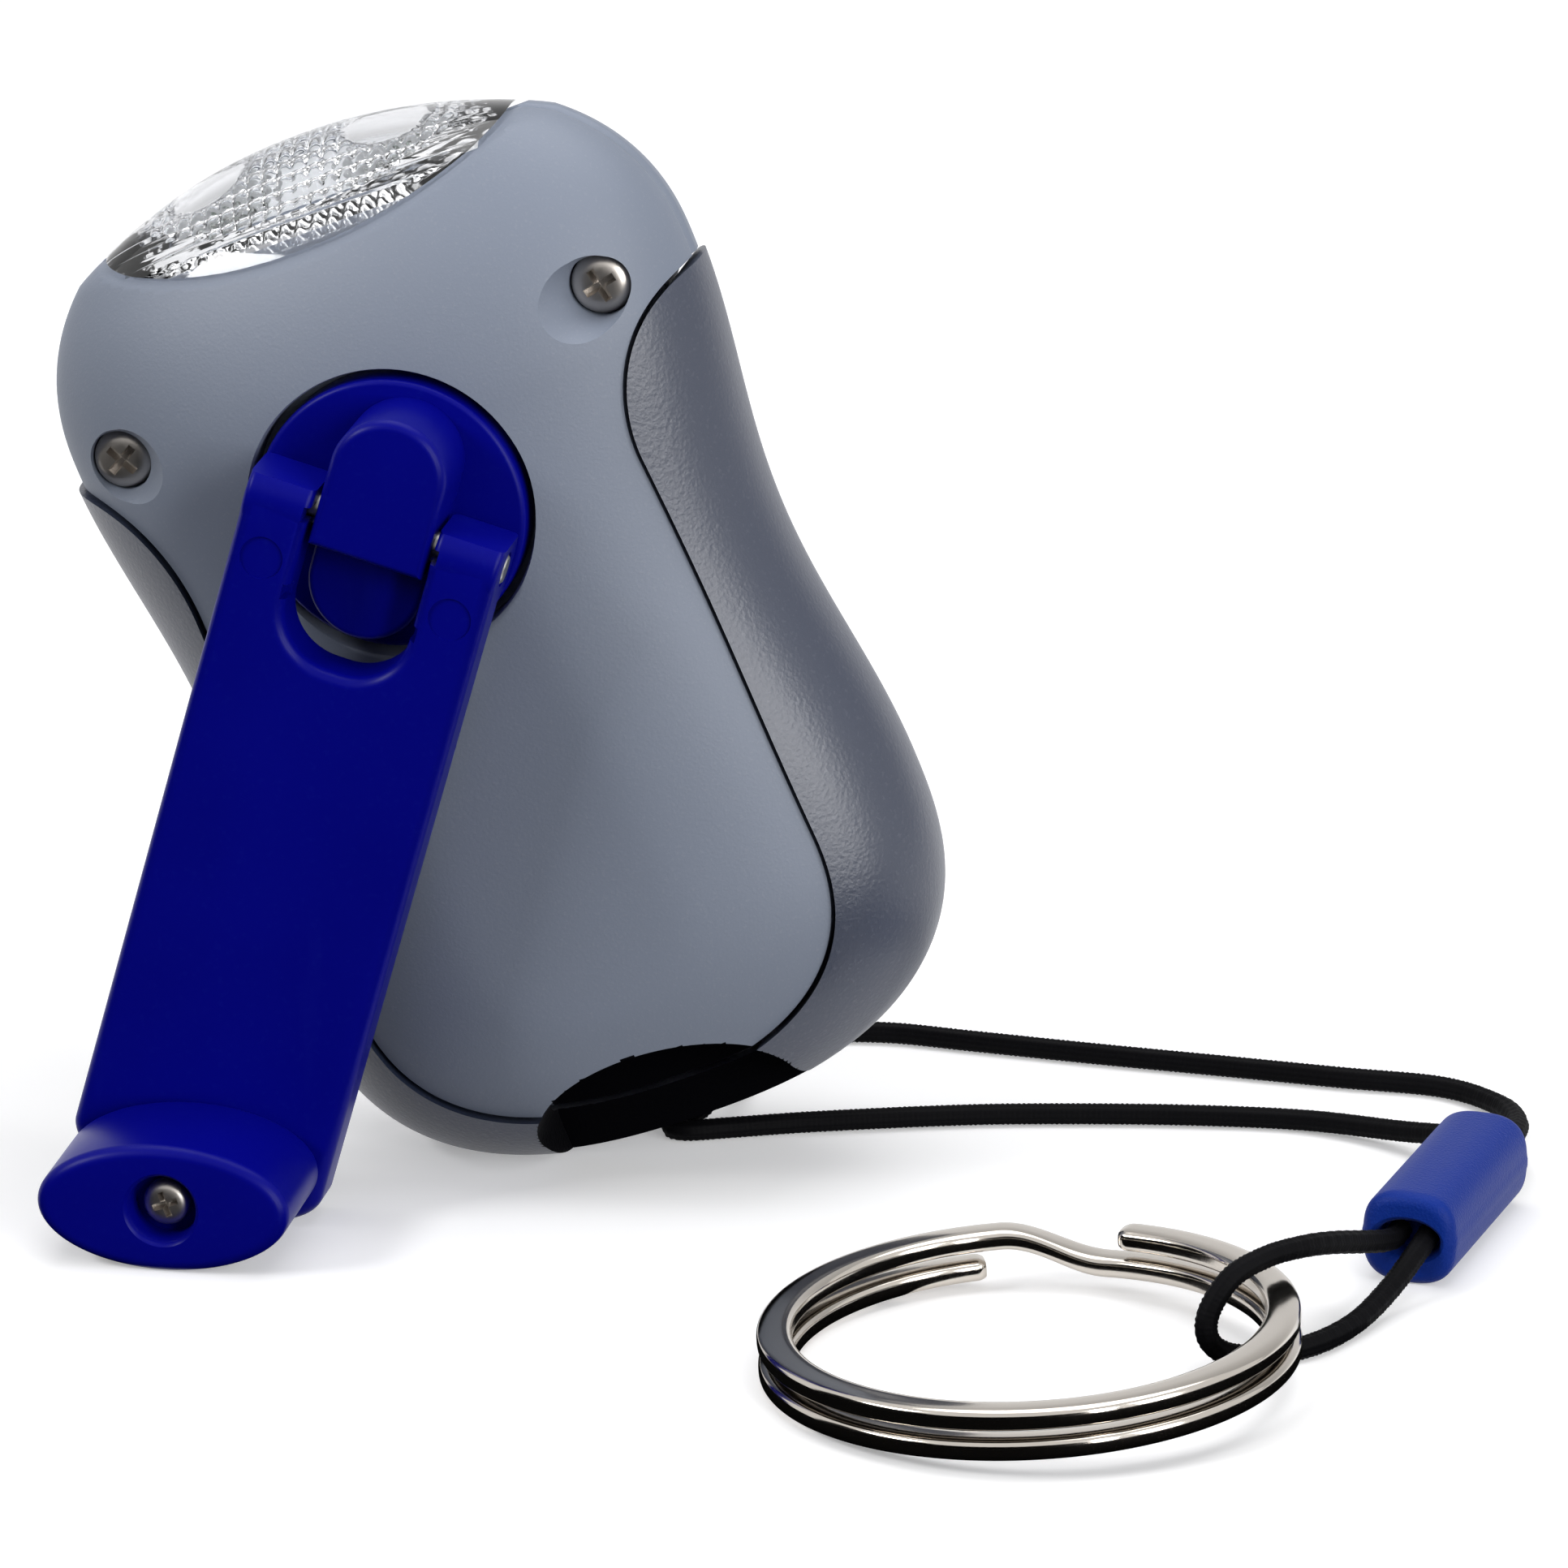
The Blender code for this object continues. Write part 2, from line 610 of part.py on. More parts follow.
def make_rear_shell():
    item = shell_blank("rear_shell")
    boolean(item, box("front_space", (-FAR, -GAP / 2, -FAR), (FAR, FAR, FAR)))
    boss = slab("knob_bay_boss", [knob_bay_outline(KNOB_RECESS_GAP + SHELL_WALL)], -FAR, FAR)
    boolean(item, cavity("rear_cavity", boss))
    boolean(item, light_bay)
    boolean(item, knob_bay)
    drive_room = GEAR_MODULE * (DRIVE_TEETH / 2 + ADDENDUM) + 2 * GAP
    boolean(item, round_bar("drive_bay", drive_room, -CAVITY_FLOOR, 0.0, sides=40))
    recess = HUB_RADIUS + HUB_RECESS_GAP
    boolean(item, round_bar("hub_recess", recess, -FAR, HUB_BACK_Y + GAP, sides=48))
    boolean(item, round_bar("hub_bore", HUB_SHAFT_RADIUS + AXLE_GAP, -FAR, 0.0))
    head = CASE_SCREW_HEAD_RADIUS + GAP
    for side, spot in zip(("left", "right"), screw_spots):
        ledge = CASE_SCREW_TOP_Y + CASE_SCREW_HEAD_HEIGHT + GAP
        boolean(item, round_bar(f"rear_counterbore_{side}", head, -FAR, ledge, spot))
        boolean(item, round_bar(f"rear_hole_{side}", CASE_SCREW_RADIUS + GAP, -FAR, FAR, spot, 20))
    return finish(item, SHELL_GREY)


def make_front_shell():
    item = shell_blank("front_shell")
    boolean(item, box("rear_space", (-FAR, -FAR, -FAR), (FAR, GAP / 2, FAR)))
    boss = box(
        "lanyard_boss",
        (-BAR_HALF_LENGTH - SHELL_WALL, -FAR, -FAR),
        (BAR_HALF_LENGTH + SHELL_WALL, FAR, LANYARD_BAR_Z + SLOT_HALF_DEPTH + SHELL_WALL),
    )
    boolean(item, cavity("front_cavity", boss))
    boolean(item, light_bay)
    boolean(item, lanyard_slot)
    bore = round_bar("lanyard_bar_bore", LANYARD_BAR_RADIUS + AXLE_GAP, -BAR_HALF_LENGTH - GAP, BAR_HALF_LENGTH + GAP)
    bore.rotation_euler = (0, math.radians(90), 0)
    bore.location = (0, LANYARD_BAR_Y, LANYARD_BAR_Z)
    boolean(item, bore)
    spot = (0.0, BUTTON_Z)
    boolean(item, round_bar("button_hole", BUTTON_RADIUS + GAP, 0.0, FAR, spot, 36))
    pocket = BUTTON_RADIUS + BUTTON_FLANGE + GAP
    boolean(item, round_bar("button_pocket", pocket, 0.0, FLAT_HALF - BUTTON_LIP, spot, 36))
    for side, spot in zip(("left", "right"), screw_spots):
        tip = CASE_SCREW_TOP_Y + CASE_SCREW_HEAD_HEIGHT + CASE_SCREW_LENGTH + GAP
        boolean(item, round_bar(f"front_hole_{side}", CASE_SCREW_RADIUS + GAP, -FAR, tip, spot, 20))
    return finish(item, SHELL_GREY)


def make_grip_band():
    item = body_loft("grip_band", -GRIP_PROUD)
    window = slab("panel_clearance", [panel_outline(GAP)], -FAR, FAR)
    for tool in (window, body_loft("grip_core", GRIP_WALL, True), knob_bay, lanyard_slot):
        boolean(item, tool)
    return finish(item, GRIP_SLATE)


def make_lens():
    item = body_loft("lens")
    boolean(item, seat_block("lens_space", GAP), "INTERSECT")
    boolean(item, body_loft("lens_hollow", LENS_WALL, True))
    return finish(item, CLEAR)


def make_lights():
    """The reflector, the two lamps and the board that carries them, each lamp in the middle of its half."""
    lamp_x = (BAY_HALF_LENGTH - GAP) / 2
    lamp_foot = LED_BOARD_Z + LED_BOARD_THICKNESS + GAP
    foot = lamp_foot + LED_FLANGE_HEIGHT + GAP
    reflector = box(
        "reflector",
        (-BAY_HALF_LENGTH + GAP, -BAY_HALF_DEPTH + GAP, foot),
        (BAY_HALF_LENGTH - GAP, BAY_HALF_DEPTH - GAP, foot + REFLECTOR_HEIGHT),
    )
    mid = foot + REFLECTOR_HEIGHT * 0.3
    top = foot + REFLECTOR_HEIGHT
    hole = LED_RADIUS + GAP
    for side, x in (("left", -lamp_x), ("right", lamp_x)):
        flare = CUP_RADIUS - hole
        rim = CUP_RADIUS + flare * GAP / (top - mid)
        profile = [(0, top + GAP), (rim, top + GAP), (hole, mid), (hole, foot - GAP), (0, foot - GAP)]
        cup = turned(f"cup_{side}", profile, 20)
        cup.location = (x, 0, 0)
        boolean(reflector, cup)
        bend = [math.radians(90) * step / 4 for step in range(5)]
        dome_z = LED_HEIGHT - LED_RADIUS
        profile = [(LED_RADIUS * math.sin(a), dome_z + LED_RADIUS * math.cos(a)) for a in bend]
        profile += [(LED_RADIUS, LED_FLANGE_HEIGHT), (LED_FLANGE_RADIUS, LED_FLANGE_HEIGHT)]
        profile += [(LED_FLANGE_RADIUS, 0), (0, 0)]
        lamp = turned(f"led_{side}", profile, 16)
        lamp.location = (x, 0, lamp_foot)
        finish(lamp, CLEAR)
    finish(reflector, WHITE)
    board = box(
        "led_board",
        (-BAY_HALF_LENGTH + GAP, -BAY_HALF_DEPTH + GAP, LED_BOARD_Z),
        (BAY_HALF_LENGTH - GAP, BAY_HALF_DEPTH - GAP, LED_BOARD_Z + LED_BOARD_THICKNESS),
    )
    finish(board, BOARD_GREEN)


def cross_cutter(name, spot, outer_y, length, width, depth):
    """The two slots of a cross-head screw, their floors in one plane, which the exact solver takes."""
    low = outer_y - depth
    first = box(name, (-length / 2, low, -width / 2), (length / 2, outer_y + depth, width / 2))
    second = box(name + "_b", (-width / 2, low, -length / 2), (width / 2, outer_y + depth, length / 2))
    for item in (first, second):
        item.location += Vector((spot[0], 0, spot[1]))
    return first, second


def screw(name, spot, head_radius, head_height, radius, length, top_y):
    """A pan-head screw along Y with its head to the rear."""
    profile = [
        (0, 0),
        (head_radius * 0.6, -head_height * 0.04),
        (head_radius * 0.9, -head_height * 0.3),
        (head_radius, -head_height * 0.6),
        (head_radius, -head_height),
        (radius, -head_height),
        (radius, -head_height - length),
        (0, -head_height - length),
    ]
    item = turned(name, profile, 16)
    item.rotation_euler = FLIP_UP
    item.location = (spot[0], top_y, spot[1])
    slots = cross_cutter(name + "_cross", spot, top_y, head_radius * 1.1, head_radius * 0.25, head_height * 0.5)
    for slot in slots:
        boolean(item, slot, solver="EXACT")
    return finish(item, STEEL)


def make_case_screws():
    for side, spot in zip(("left", "right"), screw_spots):
        screw(
            f"case_screw_{side}",
            spot,
            CASE_SCREW_HEAD_RADIUS,
            CASE_SCREW_HEAD_HEIGHT,
            CASE_SCREW_RADIUS,
            CASE_SCREW_LENGTH,
            CASE_SCREW_TOP_Y,
        )


# Gear train
def gear_outline(teeth, phase, flank_points=2):
    """Involute teeth in X and Z, one of them centred on the phase angle."""
    pitch = GEAR_MODULE * teeth / 2
    base = pitch * math.cos(PRESSURE_ANGLE)
    tip = pitch + ADDENDUM * GEAR_MODULE
    root = pitch - DEDENDUM * GEAR_MODULE
    start = max(base, root)

    def involute(radius):
        slope = math.acos(base / radius)
        return math.tan(slope) - slope

    radii = [start + (tip - start) * step / (flank_points - 1) for step in range(flank_points)]
    half_tooth = math.pi / teeth / 2 * (1 - BACKLASH)
    flank = [(radius, half_tooth + involute(pitch) - involute(radius)) for radius in radii]
    if root < base:
        flank.insert(0, (root, flank[0][1]))
    points = []
    for tooth in range(teeth):
        centre = phase + 2 * math.pi * tooth / teeth
        points += [(r * math.cos(centre - a), r * math.sin(centre - a)) for r, a in flank]
        points += [(r * math.cos(centre + a), r * math.sin(centre + a)) for r, a in reversed(flank)]
    return points


def meshed_phase(driver_teeth, driver_phase, teeth, bearing):
    """The phase that puts a gap of this gear on the driver's tooth, seen along the bearing."""
    turn = driver_teeth / teeth * (driver_phase - bearing)
    return bearing + math.pi - turn - math.pi / teeth


def bearing_of(start, end):
    return math.atan2(end[1] - start[1], end[0] - start[0])


def gear_spots():
    """Axes of gear one, gear two and the rotor: each pair stands at its pitch circles' distance."""
    first = GEAR_MODULE * (DRIVE_TEETH + PINION_TEETH) / 2
    one = Vector((GEAR_ONE_X, -math.sqrt(first**2 - GEAR_ONE_X**2)))
    rotor = Vector((0.0, ROTOR_Z))
    near = GEAR_MODULE * (WHEEL_ONE_TEETH + PINION_TEETH) / 2
    far = GEAR_MODULE * (WHEEL_TWO_TEETH + PINION_TEETH) / 2
    line = rotor - one
    along = (near**2 - far**2 + line.length_squared) / (2 * line.length)
    across = math.sqrt(near**2 - along**2)
    way = line.normalized()
    two = one + way * along + Vector((way.y, -way.x)) * across
    return one, two, rotor


ONE_SPOT, TWO_SPOT, ROTOR_SPOT = gear_spots()


def compound_gear(name, spot, wheel_teeth, phase, pinion_rear, wheel_rear, wheel_front):
    wheel = slab(name, [gear_outline(wheel_teeth, phase)], wheel_rear, wheel_front, spot)
    middle = (wheel_rear + wheel_front) / 2
    pinion = slab(name + "_pinion", [gear_outline(PINION_TEETH, phase)], pinion_rear, middle, spot)
    boolean(wheel, pinion, "UNION")
    boolean(wheel, round_bar(name + "_bore", AXLE_RADIUS + AXLE_GAP, -FAR, FAR, spot, 20))
    return finish(wheel, GEAR_WHITE)


def make_gear_train():
    """The drive gear, the two compound gears on their axles, and the rotor with its pinion."""
    drive = slab("drive_gear", [gear_outline(DRIVE_TEETH, 0.0)], DRIVE_REAR, DRIVE_FRONT)
    boolean(drive, round_bar("drive_bore", HUB_SHAFT_RADIUS + AXLE_GAP, -FAR, FAR))
    finish(drive, GEAR_WHITE)
    one_phase = meshed_phase(DRIVE_TEETH, 0.0, PINION_TEETH, bearing_of((0, 0), ONE_SPOT))
    two_phase = meshed_phase(WHEEL_ONE_TEETH, one_phase, PINION_TEETH, bearing_of(ONE_SPOT, TWO_SPOT))
    rotor_phase = meshed_phase(WHEEL_TWO_TEETH, two_phase, PINION_TEETH, bearing_of(TWO_SPOT, ROTOR_SPOT))
    compound_gear("gear_one", ONE_SPOT, WHEEL_ONE_TEETH, one_phase, DRIVE_REAR, WHEEL_ONE_REAR, WHEEL_ONE_FRONT)
    compound_gear("gear_two", TWO_SPOT, WHEEL_TWO_TEETH, two_phase, WHEEL_ONE_REAR, WHEEL_TWO_REAR, WHEEL_TWO_FRONT)
    pinion = slab(
        "rotor_pinion",
        [gear_outline(PINION_TEETH, rotor_phase)],
        WHEEL_TWO_REAR,
        WHEEL_TWO_FRONT,
        ROTOR_SPOT,
    )
    boolean(pinion, round_bar("pinion_bore", AXLE_RADIUS + AXLE_GAP, -FAR, FAR, ROTOR_SPOT, 20))
    finish(pinion, GEAR_WHITE)
    for name, spot in (("axle_one", ONE_SPOT), ("axle_two", TWO_SPOT)):
        axle = round_bar(name, AXLE_RADIUS, DRIVE_REAR, PLATE_FRONT, spot, 20)
        finish(axle, STEEL)
    shaft = round_bar("rotor_shaft", AXLE_RADIUS, DRIVE_REAR, CAVITY_FLOOR - GAP, ROTOR_SPOT, 20)
    finish(shaft, STEEL)
    magnet = round_bar("magnet", MAGNET_RADIUS, INNER_REAR, INNER_REAR + MAGNET_LENGTH, ROTOR_SPOT, 32)
    boolean(magnet, round_bar("magnet_bore", AXLE_RADIUS + AXLE_GAP, -FAR, FAR, ROTOR_SPOT, 20))
    finish(magnet, MAGNET_GREY)


def make_gear_plate():
    """The plate across the housing that carries the axles, clear of the cavity's wall all round."""
    foot = -CRANK_RADIUS + KNOB_HALF_WIDTH + KNOB_RECESS_GAP + SHELL_WALL + GAP
    count = 12
    half = []
    for step in range(count + 1):
        z = PLATE_TOP_Z + (foot - PLATE_TOP_Z) * step / count
        half.append((half_width(z, CAVITY_INSET + 2 * GAP), z))
    item = slab("gear_plate", [mirrored(half)], PLATE_REAR, PLATE_FRONT)
    for name, spot in (("one", ONE_SPOT), ("two", TWO_SPOT), ("rotor", ROTOR_SPOT)):
        boolean(item, round_bar(f"plate_hole_{name}", AXLE_RADIUS + AXLE_GAP, -FAR, FAR, spot, 20))
    return finish(item, STEEL)


def make_generator():
    """The iron core, a U whose limbs end in poles round the magnet, and the coil on its yoke."""
    inner = MAGNET_RADIUS + POLE_GAP
    outer = inner + CORE_LIMB
    foot = ROTOR_Z - MAGNET_RADIUS * 0.6
    top = YOKE_Z + YOKE_HALF_HEIGHT
    low = YOKE_Z - YOKE_HALF_HEIGHT
    outline = mirrored([(outer, top), (outer, foot), (inner - POLE_LAP, foot), (inner - POLE_LAP, low)])
    rear = INNER_REAR + COIL_WALL + GAP
    core = slab("stator_core", [outline], rear, rear + CORE_THICKNESS)
    boolean(core, round_bar("pole_bore", inner, -FAR, FAR, ROTOR_SPOT, 40))
    finish(core, MAGNET_GREY)
    reach = YOKE_HALF_HEIGHT + GAP + COIL_WALL
    coil = box(
        "coil",
        (-COIL_HALF_LENGTH, INNER_REAR, YOKE_Z - reach),
        (COIL_HALF_LENGTH, rear + CORE_THICKNESS + GAP + COIL_WALL, YOKE_Z + reach),
    )
    window = box(
        "coil_window",
        (-FAR, rear - GAP, YOKE_Z - YOKE_HALF_HEIGHT - GAP),
        (FAR, rear + CORE_THICKNESS + GAP, YOKE_Z + YOKE_HALF_HEIGHT + GAP),
    )
    boolean(coil, window)
    finish(coil, COPPER)


def make_power():
    """The rechargeable cell, the board in front of it, the switch and its push button."""
    cell = round_bar("battery_cell", CELL_RADIUS, INNER_REAR, INNER_REAR + CELL_THICKNESS, (0, CELL_Z), 28)
    bevel(cell, CELL_EDGE, 1)
    finish(cell, STEEL)
    low = CELL_Z - BOARD_LENGTH / 2
    board = box(
        "circuit_board",
        (-BOARD_HALF_WIDTH, BOARD_REAR, low),
        (BOARD_HALF_WIDTH, BOARD_FRONT, low + BOARD_LENGTH),
    )
    finish(board, BOARD_GREEN)
    foot = FLAT_HALF - BUTTON_LIP - GAP - BUTTON_FLANGE_HEIGHT
    half = SWITCH_WIDTH / 2
    switch = box(
        "tact_switch",
        (-half, BOARD_FRONT + GAP, BUTTON_Z - half),
        (half, foot - BUTTON_TRAVEL - GAP, BUTTON_Z + half),
    )
    finish(switch, MAGNET_GREY)
    top = FLAT_HALF + BUTTON_PROUD - foot
    flange = BUTTON_RADIUS + BUTTON_FLANGE
    profile = [(0, top), (BUTTON_RADIUS - BUTTON_EDGE, top), (BUTTON_RADIUS, top - BUTTON_EDGE)]
    profile += [(BUTTON_RADIUS, BUTTON_FLANGE_HEIGHT), (flange, BUTTON_FLANGE_HEIGHT), (flange, 0), (0, 0)]
    button = turned("push_button", profile, 28)
    button.rotation_euler = FLIP_DOWN
    button.location = (0, foot, BUTTON_Z)
    finish(button, CRANK_BLUE)


# Crank, in a frame whose arm hangs along -Z
def bar_along_x(name, radius, half_length, y, z=0.0, sides=24):
    item = round_bar(name, radius, -half_length, half_length, sides=sides)
    item.rotation_euler = (0, math.radians(90), 0)
    item.location = (0, y, z)
    return item


def make_crank_hub():
    item = round_bar("crank_hub", HUB_RADIUS, HUB_FACE_Y, HUB_BACK_Y, sides=40)
    bevel(item, HUB_EDGE, 1)
    radius = BLOCK_WIDTH / 2
    straight = BLOCK_HALF_LENGTH - radius
    turns = [math.pi * step / 12 for step in range(13)]
    round_end = [(radius * math.cos(a), straight + radius * math.sin(a)) for a in turns]
    high = round_end + [(-radius, -BLOCK_STEP), (radius, -BLOCK_STEP)]
    low = [(x, -z) for x, z in round_end] + [(-radius, 0), (radius, 0)]
    sunk = HUB_FACE_Y + HUB_THICKNESS / 2
    high_block = slab("block_high", [high], PIN_Y - BLOCK_CROWN, sunk)
    bevel(high_block, BLOCK_HIGH_EDGE)
    low_block = slab("block_low", [low], HUB_FACE_Y - BLOCK_LOW_HEIGHT, sunk)
    bevel(low_block, HUB_EDGE, 1)
    boolean(item, high_block, "UNION")
    boolean(item, low_block, "UNION")
    shaft = round_bar("hub_shaft", HUB_SHAFT_RADIUS, HUB_BACK_Y - HUB_THICKNESS / 2, WHEEL_TWO_FRONT)
    boolean(item, shaft, "UNION")
    boolean(item, bar_along_x("hub_pin_bore", PIN_RADIUS + AXLE_GAP, BLOCK_WIDTH, PIN_Y))
    return finish(item, CRANK_BLUE)


def arm_outline():
    """The fork arm from its hinge down to its oval end, with the slot that clears the block."""
    slot = BLOCK_WIDTH / 2 + GAP
    corner = ARM_SLOT_CORNER
    turns = [math.pi * step / 16 for step in range(17)]
    end = [(ARM_HALF_WIDTH * math.cos(a), -CRANK_RADIUS - ARM_END_DROP * math.sin(a)) for a in turns]
    bend = [math.radians(90) * step / 5 for step in range(6)]
    left = [(-slot + corner * (1 - math.cos(a)), -ARM_SLOT_END + corner * (1 - math.sin(a))) for a in bend]
    right = [(-x, z) for x, z in reversed(left)]
    return [(ARM_HALF_WIDTH, 0)] + end + [(-ARM_HALF_WIDTH, 0), (-slot, 0)] + left + right + [(slot, 0)]


def make_crank_arm():
    """The plate of the arm with a round knuckle on each fork tip, bored for the pin."""
    item = slab("crank_arm", [arm_outline()], ARM_FACE_Y, ARM_FACE_Y + ARM_THICKNESS)
    bevel(item, ARM_BEVEL)
    inner = BLOCK_WIDTH / 2 + GAP
    tip_space = box("tip_space", (-FAR, -FAR, ARM_TIP), (FAR, FAR, FAR))
    for side, low in (("left", -ARM_HALF_WIDTH), ("right", inner)):
        half = (ARM_HALF_WIDTH - inner) / 2
        knuckle = bar_along_x(f"knuckle_{side}", PIN_STANDOFF, half, PIN_Y, sides=32)
        knuckle.location.x = low + half
        boolean(knuckle, tip_space)
        boolean(item, knuckle, "UNION")
    boolean(item, bar_along_x("arm_pin_bore", PIN_RADIUS + AXLE_GAP, FAR, PIN_Y))
    hole = KNOB_SCREW_RADIUS + AXLE_GAP
    depth = ARM_FACE_Y + KNOB_SCREW_GRIP + GAP
    boolean(item, round_bar("arm_screw_hole", hole, -FAR, depth, (0, -CRANK_RADIUS), 16))
    return finish(item, CRANK_BLUE)


def make_hinge_pin():
    item = bar_along_x("hinge_pin", PIN_RADIUS, PIN_HALF_LENGTH, PIN_Y)
    return finish(item, STEEL)


def make_knob():
    spot = (0, -CRANK_RADIUS)
    oval = ellipse(KNOB_HALF_LENGTH, KNOB_HALF_WIDTH, 36)
    item = slab("knob", [oval], KNOB_END_Y, KNOB_FOOT_Y, spot)
    bevel(item, KNOB_BEVEL)
    web = KNOB_FOOT_Y - KNOB_WEB
    boolean(item, round_bar("knob_well", KNOB_HOLE_RADIUS, -FAR, web, spot))
    boolean(item, round_bar("knob_hole", KNOB_SCREW_RADIUS + AXLE_GAP, -FAR, FAR, spot, 16))
    return finish(item, CRANK_BLUE)


def make_knob_screw():
    under_head = KNOB_FOOT_Y - KNOB_WEB - GAP
    return screw(
        "knob_screw",
        (0, -CRANK_RADIUS),
        KNOB_SCREW_HEAD_RADIUS,
        KNOB_SCREW_HEAD_HEIGHT,
        KNOB_SCREW_RADIUS,
        ARM_FACE_Y + KNOB_SCREW_GRIP - under_head,
        under_head - KNOB_SCREW_HEAD_HEIGHT,
    )


def make_lanyard_bar():
    item = bar_along_x("lanyard_bar", LANYARD_BAR_RADIUS, BAR_HALF_LENGTH, LANYARD_BAR_Y, LANYARD_BAR_Z)
    return finish(item, STEEL)


# Pieces on the table, in X and Y from the point under the crank axis
def make_cords():
    """The cord round the lanyard bar with both its strands, and its loop round the key ring."""
    strands = [Vector(point) * MM for point in LANYARD_ROUTE]
    loop = [Vector(point) * MM for point in LOOP_ROUTE]
    for name, route in (("lanyard_cord", strands), ("cord_loop", loop)):
        item = tube(name, smooth_route(route, CORD_POINT_SPACING), CORD_RADIUS)
        item.data.materials.append(CORD_BLACK)


def make_slider():
    """The bead on the cord: an oval tube with soft ends, its pockets taking the cord's ends."""
    half = SLIDER_LENGTH / 2
    oval = []
    for step in range(28):
        turn = 2 * math.pi * step / 28
        x = SLIDER_HALF_WIDTH * signed_power(math.cos(turn), 2 / SLIDER_POWER)
        z = SLIDER_HALF_HEIGHT * signed_power(math.sin(turn), 2 / SLIDER_POWER)
        oval.append((x, z))
    item = slab("cord_slider", [oval], -half, half)
    bevel(item, SLIDER_EDGE, 2, 60)
    hole = ellipse(SLIDER_HOLE_HALF_WIDTH, SLIDER_HOLE_HALF_HEIGHT, 20)
    for name, rear, front in (("near", -FAR, -half + SLIDER_POCKET), ("far", half - SLIDER_POCKET, FAR)):
        pocket = slab(f"slider_pocket_{name}", [hole], rear, front)
        boolean(item, pocket)
    return finish(item, SLIDER_BLUE)


def make_split_ring():
    """A flat key ring of two turns: one unbroken wire that kinks up by its height and a gap."""
    climb = RING_WIRE_HEIGHT + RING_TURN_GAP
    radius = RING_RADIUS - RING_WIRE_WIDTH / 2
    start = RING_KINK_TURN + RING_KINK_SPAN / 2 + RING_END_GAP
    level = 2 * math.pi - RING_KINK_SPAN - RING_END_GAP
    full = 2 * level + RING_KINK_SPAN
    count = 64

    def height_at(turn):
        share = min(1.0, max(0.0, (turn - level) / RING_KINK_SPAN))
        return RING_WIRE_HEIGHT / 2 + ease(0.0, climb, share)

    turns = [full * step / count for step in range(count + 1)]
    least = min(height_at(turn) - height_at(turn - 2 * math.pi) for turn in turns if turn > 2 * math.pi)
    print(f"key ring: least gap between its turns {(least - RING_WIRE_HEIGHT) / MM:.2f} mm")
    points = [(start + turn, height_at(turn)) for turn in turns]
    shape = bmesh.new()
    rings = []
    sides = 8
    for turn, height in points:
        ring = []
        for side in range(sides):
            lean = 2 * math.pi * (side + 0.5) / sides
            out = RING_WIRE_WIDTH / 2 * signed_power(math.cos(lean), RING_WIRE_SQUARENESS)
            up = RING_WIRE_HEIGHT / 2 * signed_power(math.sin(lean), RING_WIRE_SQUARENESS)
            reach = radius + out
            ring.append(shape.verts.new((reach * math.cos(turn), reach * math.sin(turn), height + up)))
        rings.append(ring)
    for first, second in zip(rings, rings[1:]):
        for side in range(sides):
            after = (side + 1) % sides
            shape.faces.new((first[side], first[after], second[after], second[side]))
    shape.faces.new(reversed(rings[0]))
    shape.faces.new(rings[-1])
    item = mesh_item("split_ring", shape)
    return finish(item, STEEL)


def standing_height():
    """Height of the crank axis over the table with the tilted grip resting on it."""
    count = 200
    heights = []
    for step in range(count):
        z = BASE_Z - (BASE_DROP + GRIP_PROUD) * step / count
        heights.append(half_width(z, -GRIP_PROUD) * math.sin(ROLL) - z * math.cos(ROLL))
    return max(heights)


def holder(name, location, turn, parent):
    item = bpy.data.objects.new(name, None)
    item.location = location
    item.rotation_euler = turn
    item.parent = parent
    parts.objects.link(item)
    return item


def assemble():
    """Stand the tilted torch on the table with its knob touching down, and centre it on the origin.

    A crank too short to reach the table hangs straight down.
    """
    height = standing_height()
    swing = math.acos(min(1.0, (height - KNOB_HALF_WIDTH) / CRANK_RADIUS))
    crank_turn = ROLL + swing
    table = holder("table", (0, 0, 0), (0, 0, 0), None)
    torch = holder("torch", (0, 0, height), (0, -ROLL, 0), table)
    crank = holder("crank_axis", (0, 0, 0), (0, crank_turn, 0), torch)
    fold = holder("fold_axis", (0, PIN_Y, 0), (0, 0, 0), crank)
    knob_axis = holder("knob_axis", (0, 0, -CRANK_RADIUS), (0, -swing, 0), crank)
    slider = holder("slider_axis", (*SLIDER_SPOT, SLIDER_HALF_HEIGHT), (0, 0, SLIDER_TURN), table)
    drop = RING_RADIUS * math.sin(RING_TILT)
    ring = holder("ring_axis", (*RING_SPOT, drop), (0, -RING_TILT, 0), table)
    owners = {"crank_hub": crank, "cord_slider": slider, "split_ring": ring}
    owners |= {"lanyard_cord": table, "cord_loop": table}
    for item in [piece for piece in parts.objects if piece.type != "EMPTY"]:
        if item.name in ("crank_arm", "hinge_pin"):
            hang(item, fold, Vector((0, PIN_Y, 0)))
        elif item.name in ("knob", "knob_screw"):
            hang(item, knob_axis, Vector((0, 0, -CRANK_RADIUS)))
        else:
            hang(item, owners.get(item.name, torch), Vector())
    centre_on_origin(table, torch, [item for item in parts.objects if item.type == "MESH"])


def hang(item, parent, origin):
    """Parent a piece and whatever cuts it, drawn in the housing's frame, to a holder at this origin."""
    if item.parent is not None:
        return
    item.parent = parent
    item.location -= origin
    for change in item.modifiers:
        if change.type == "BOOLEAN":
            hang(change.object, parent, origin)


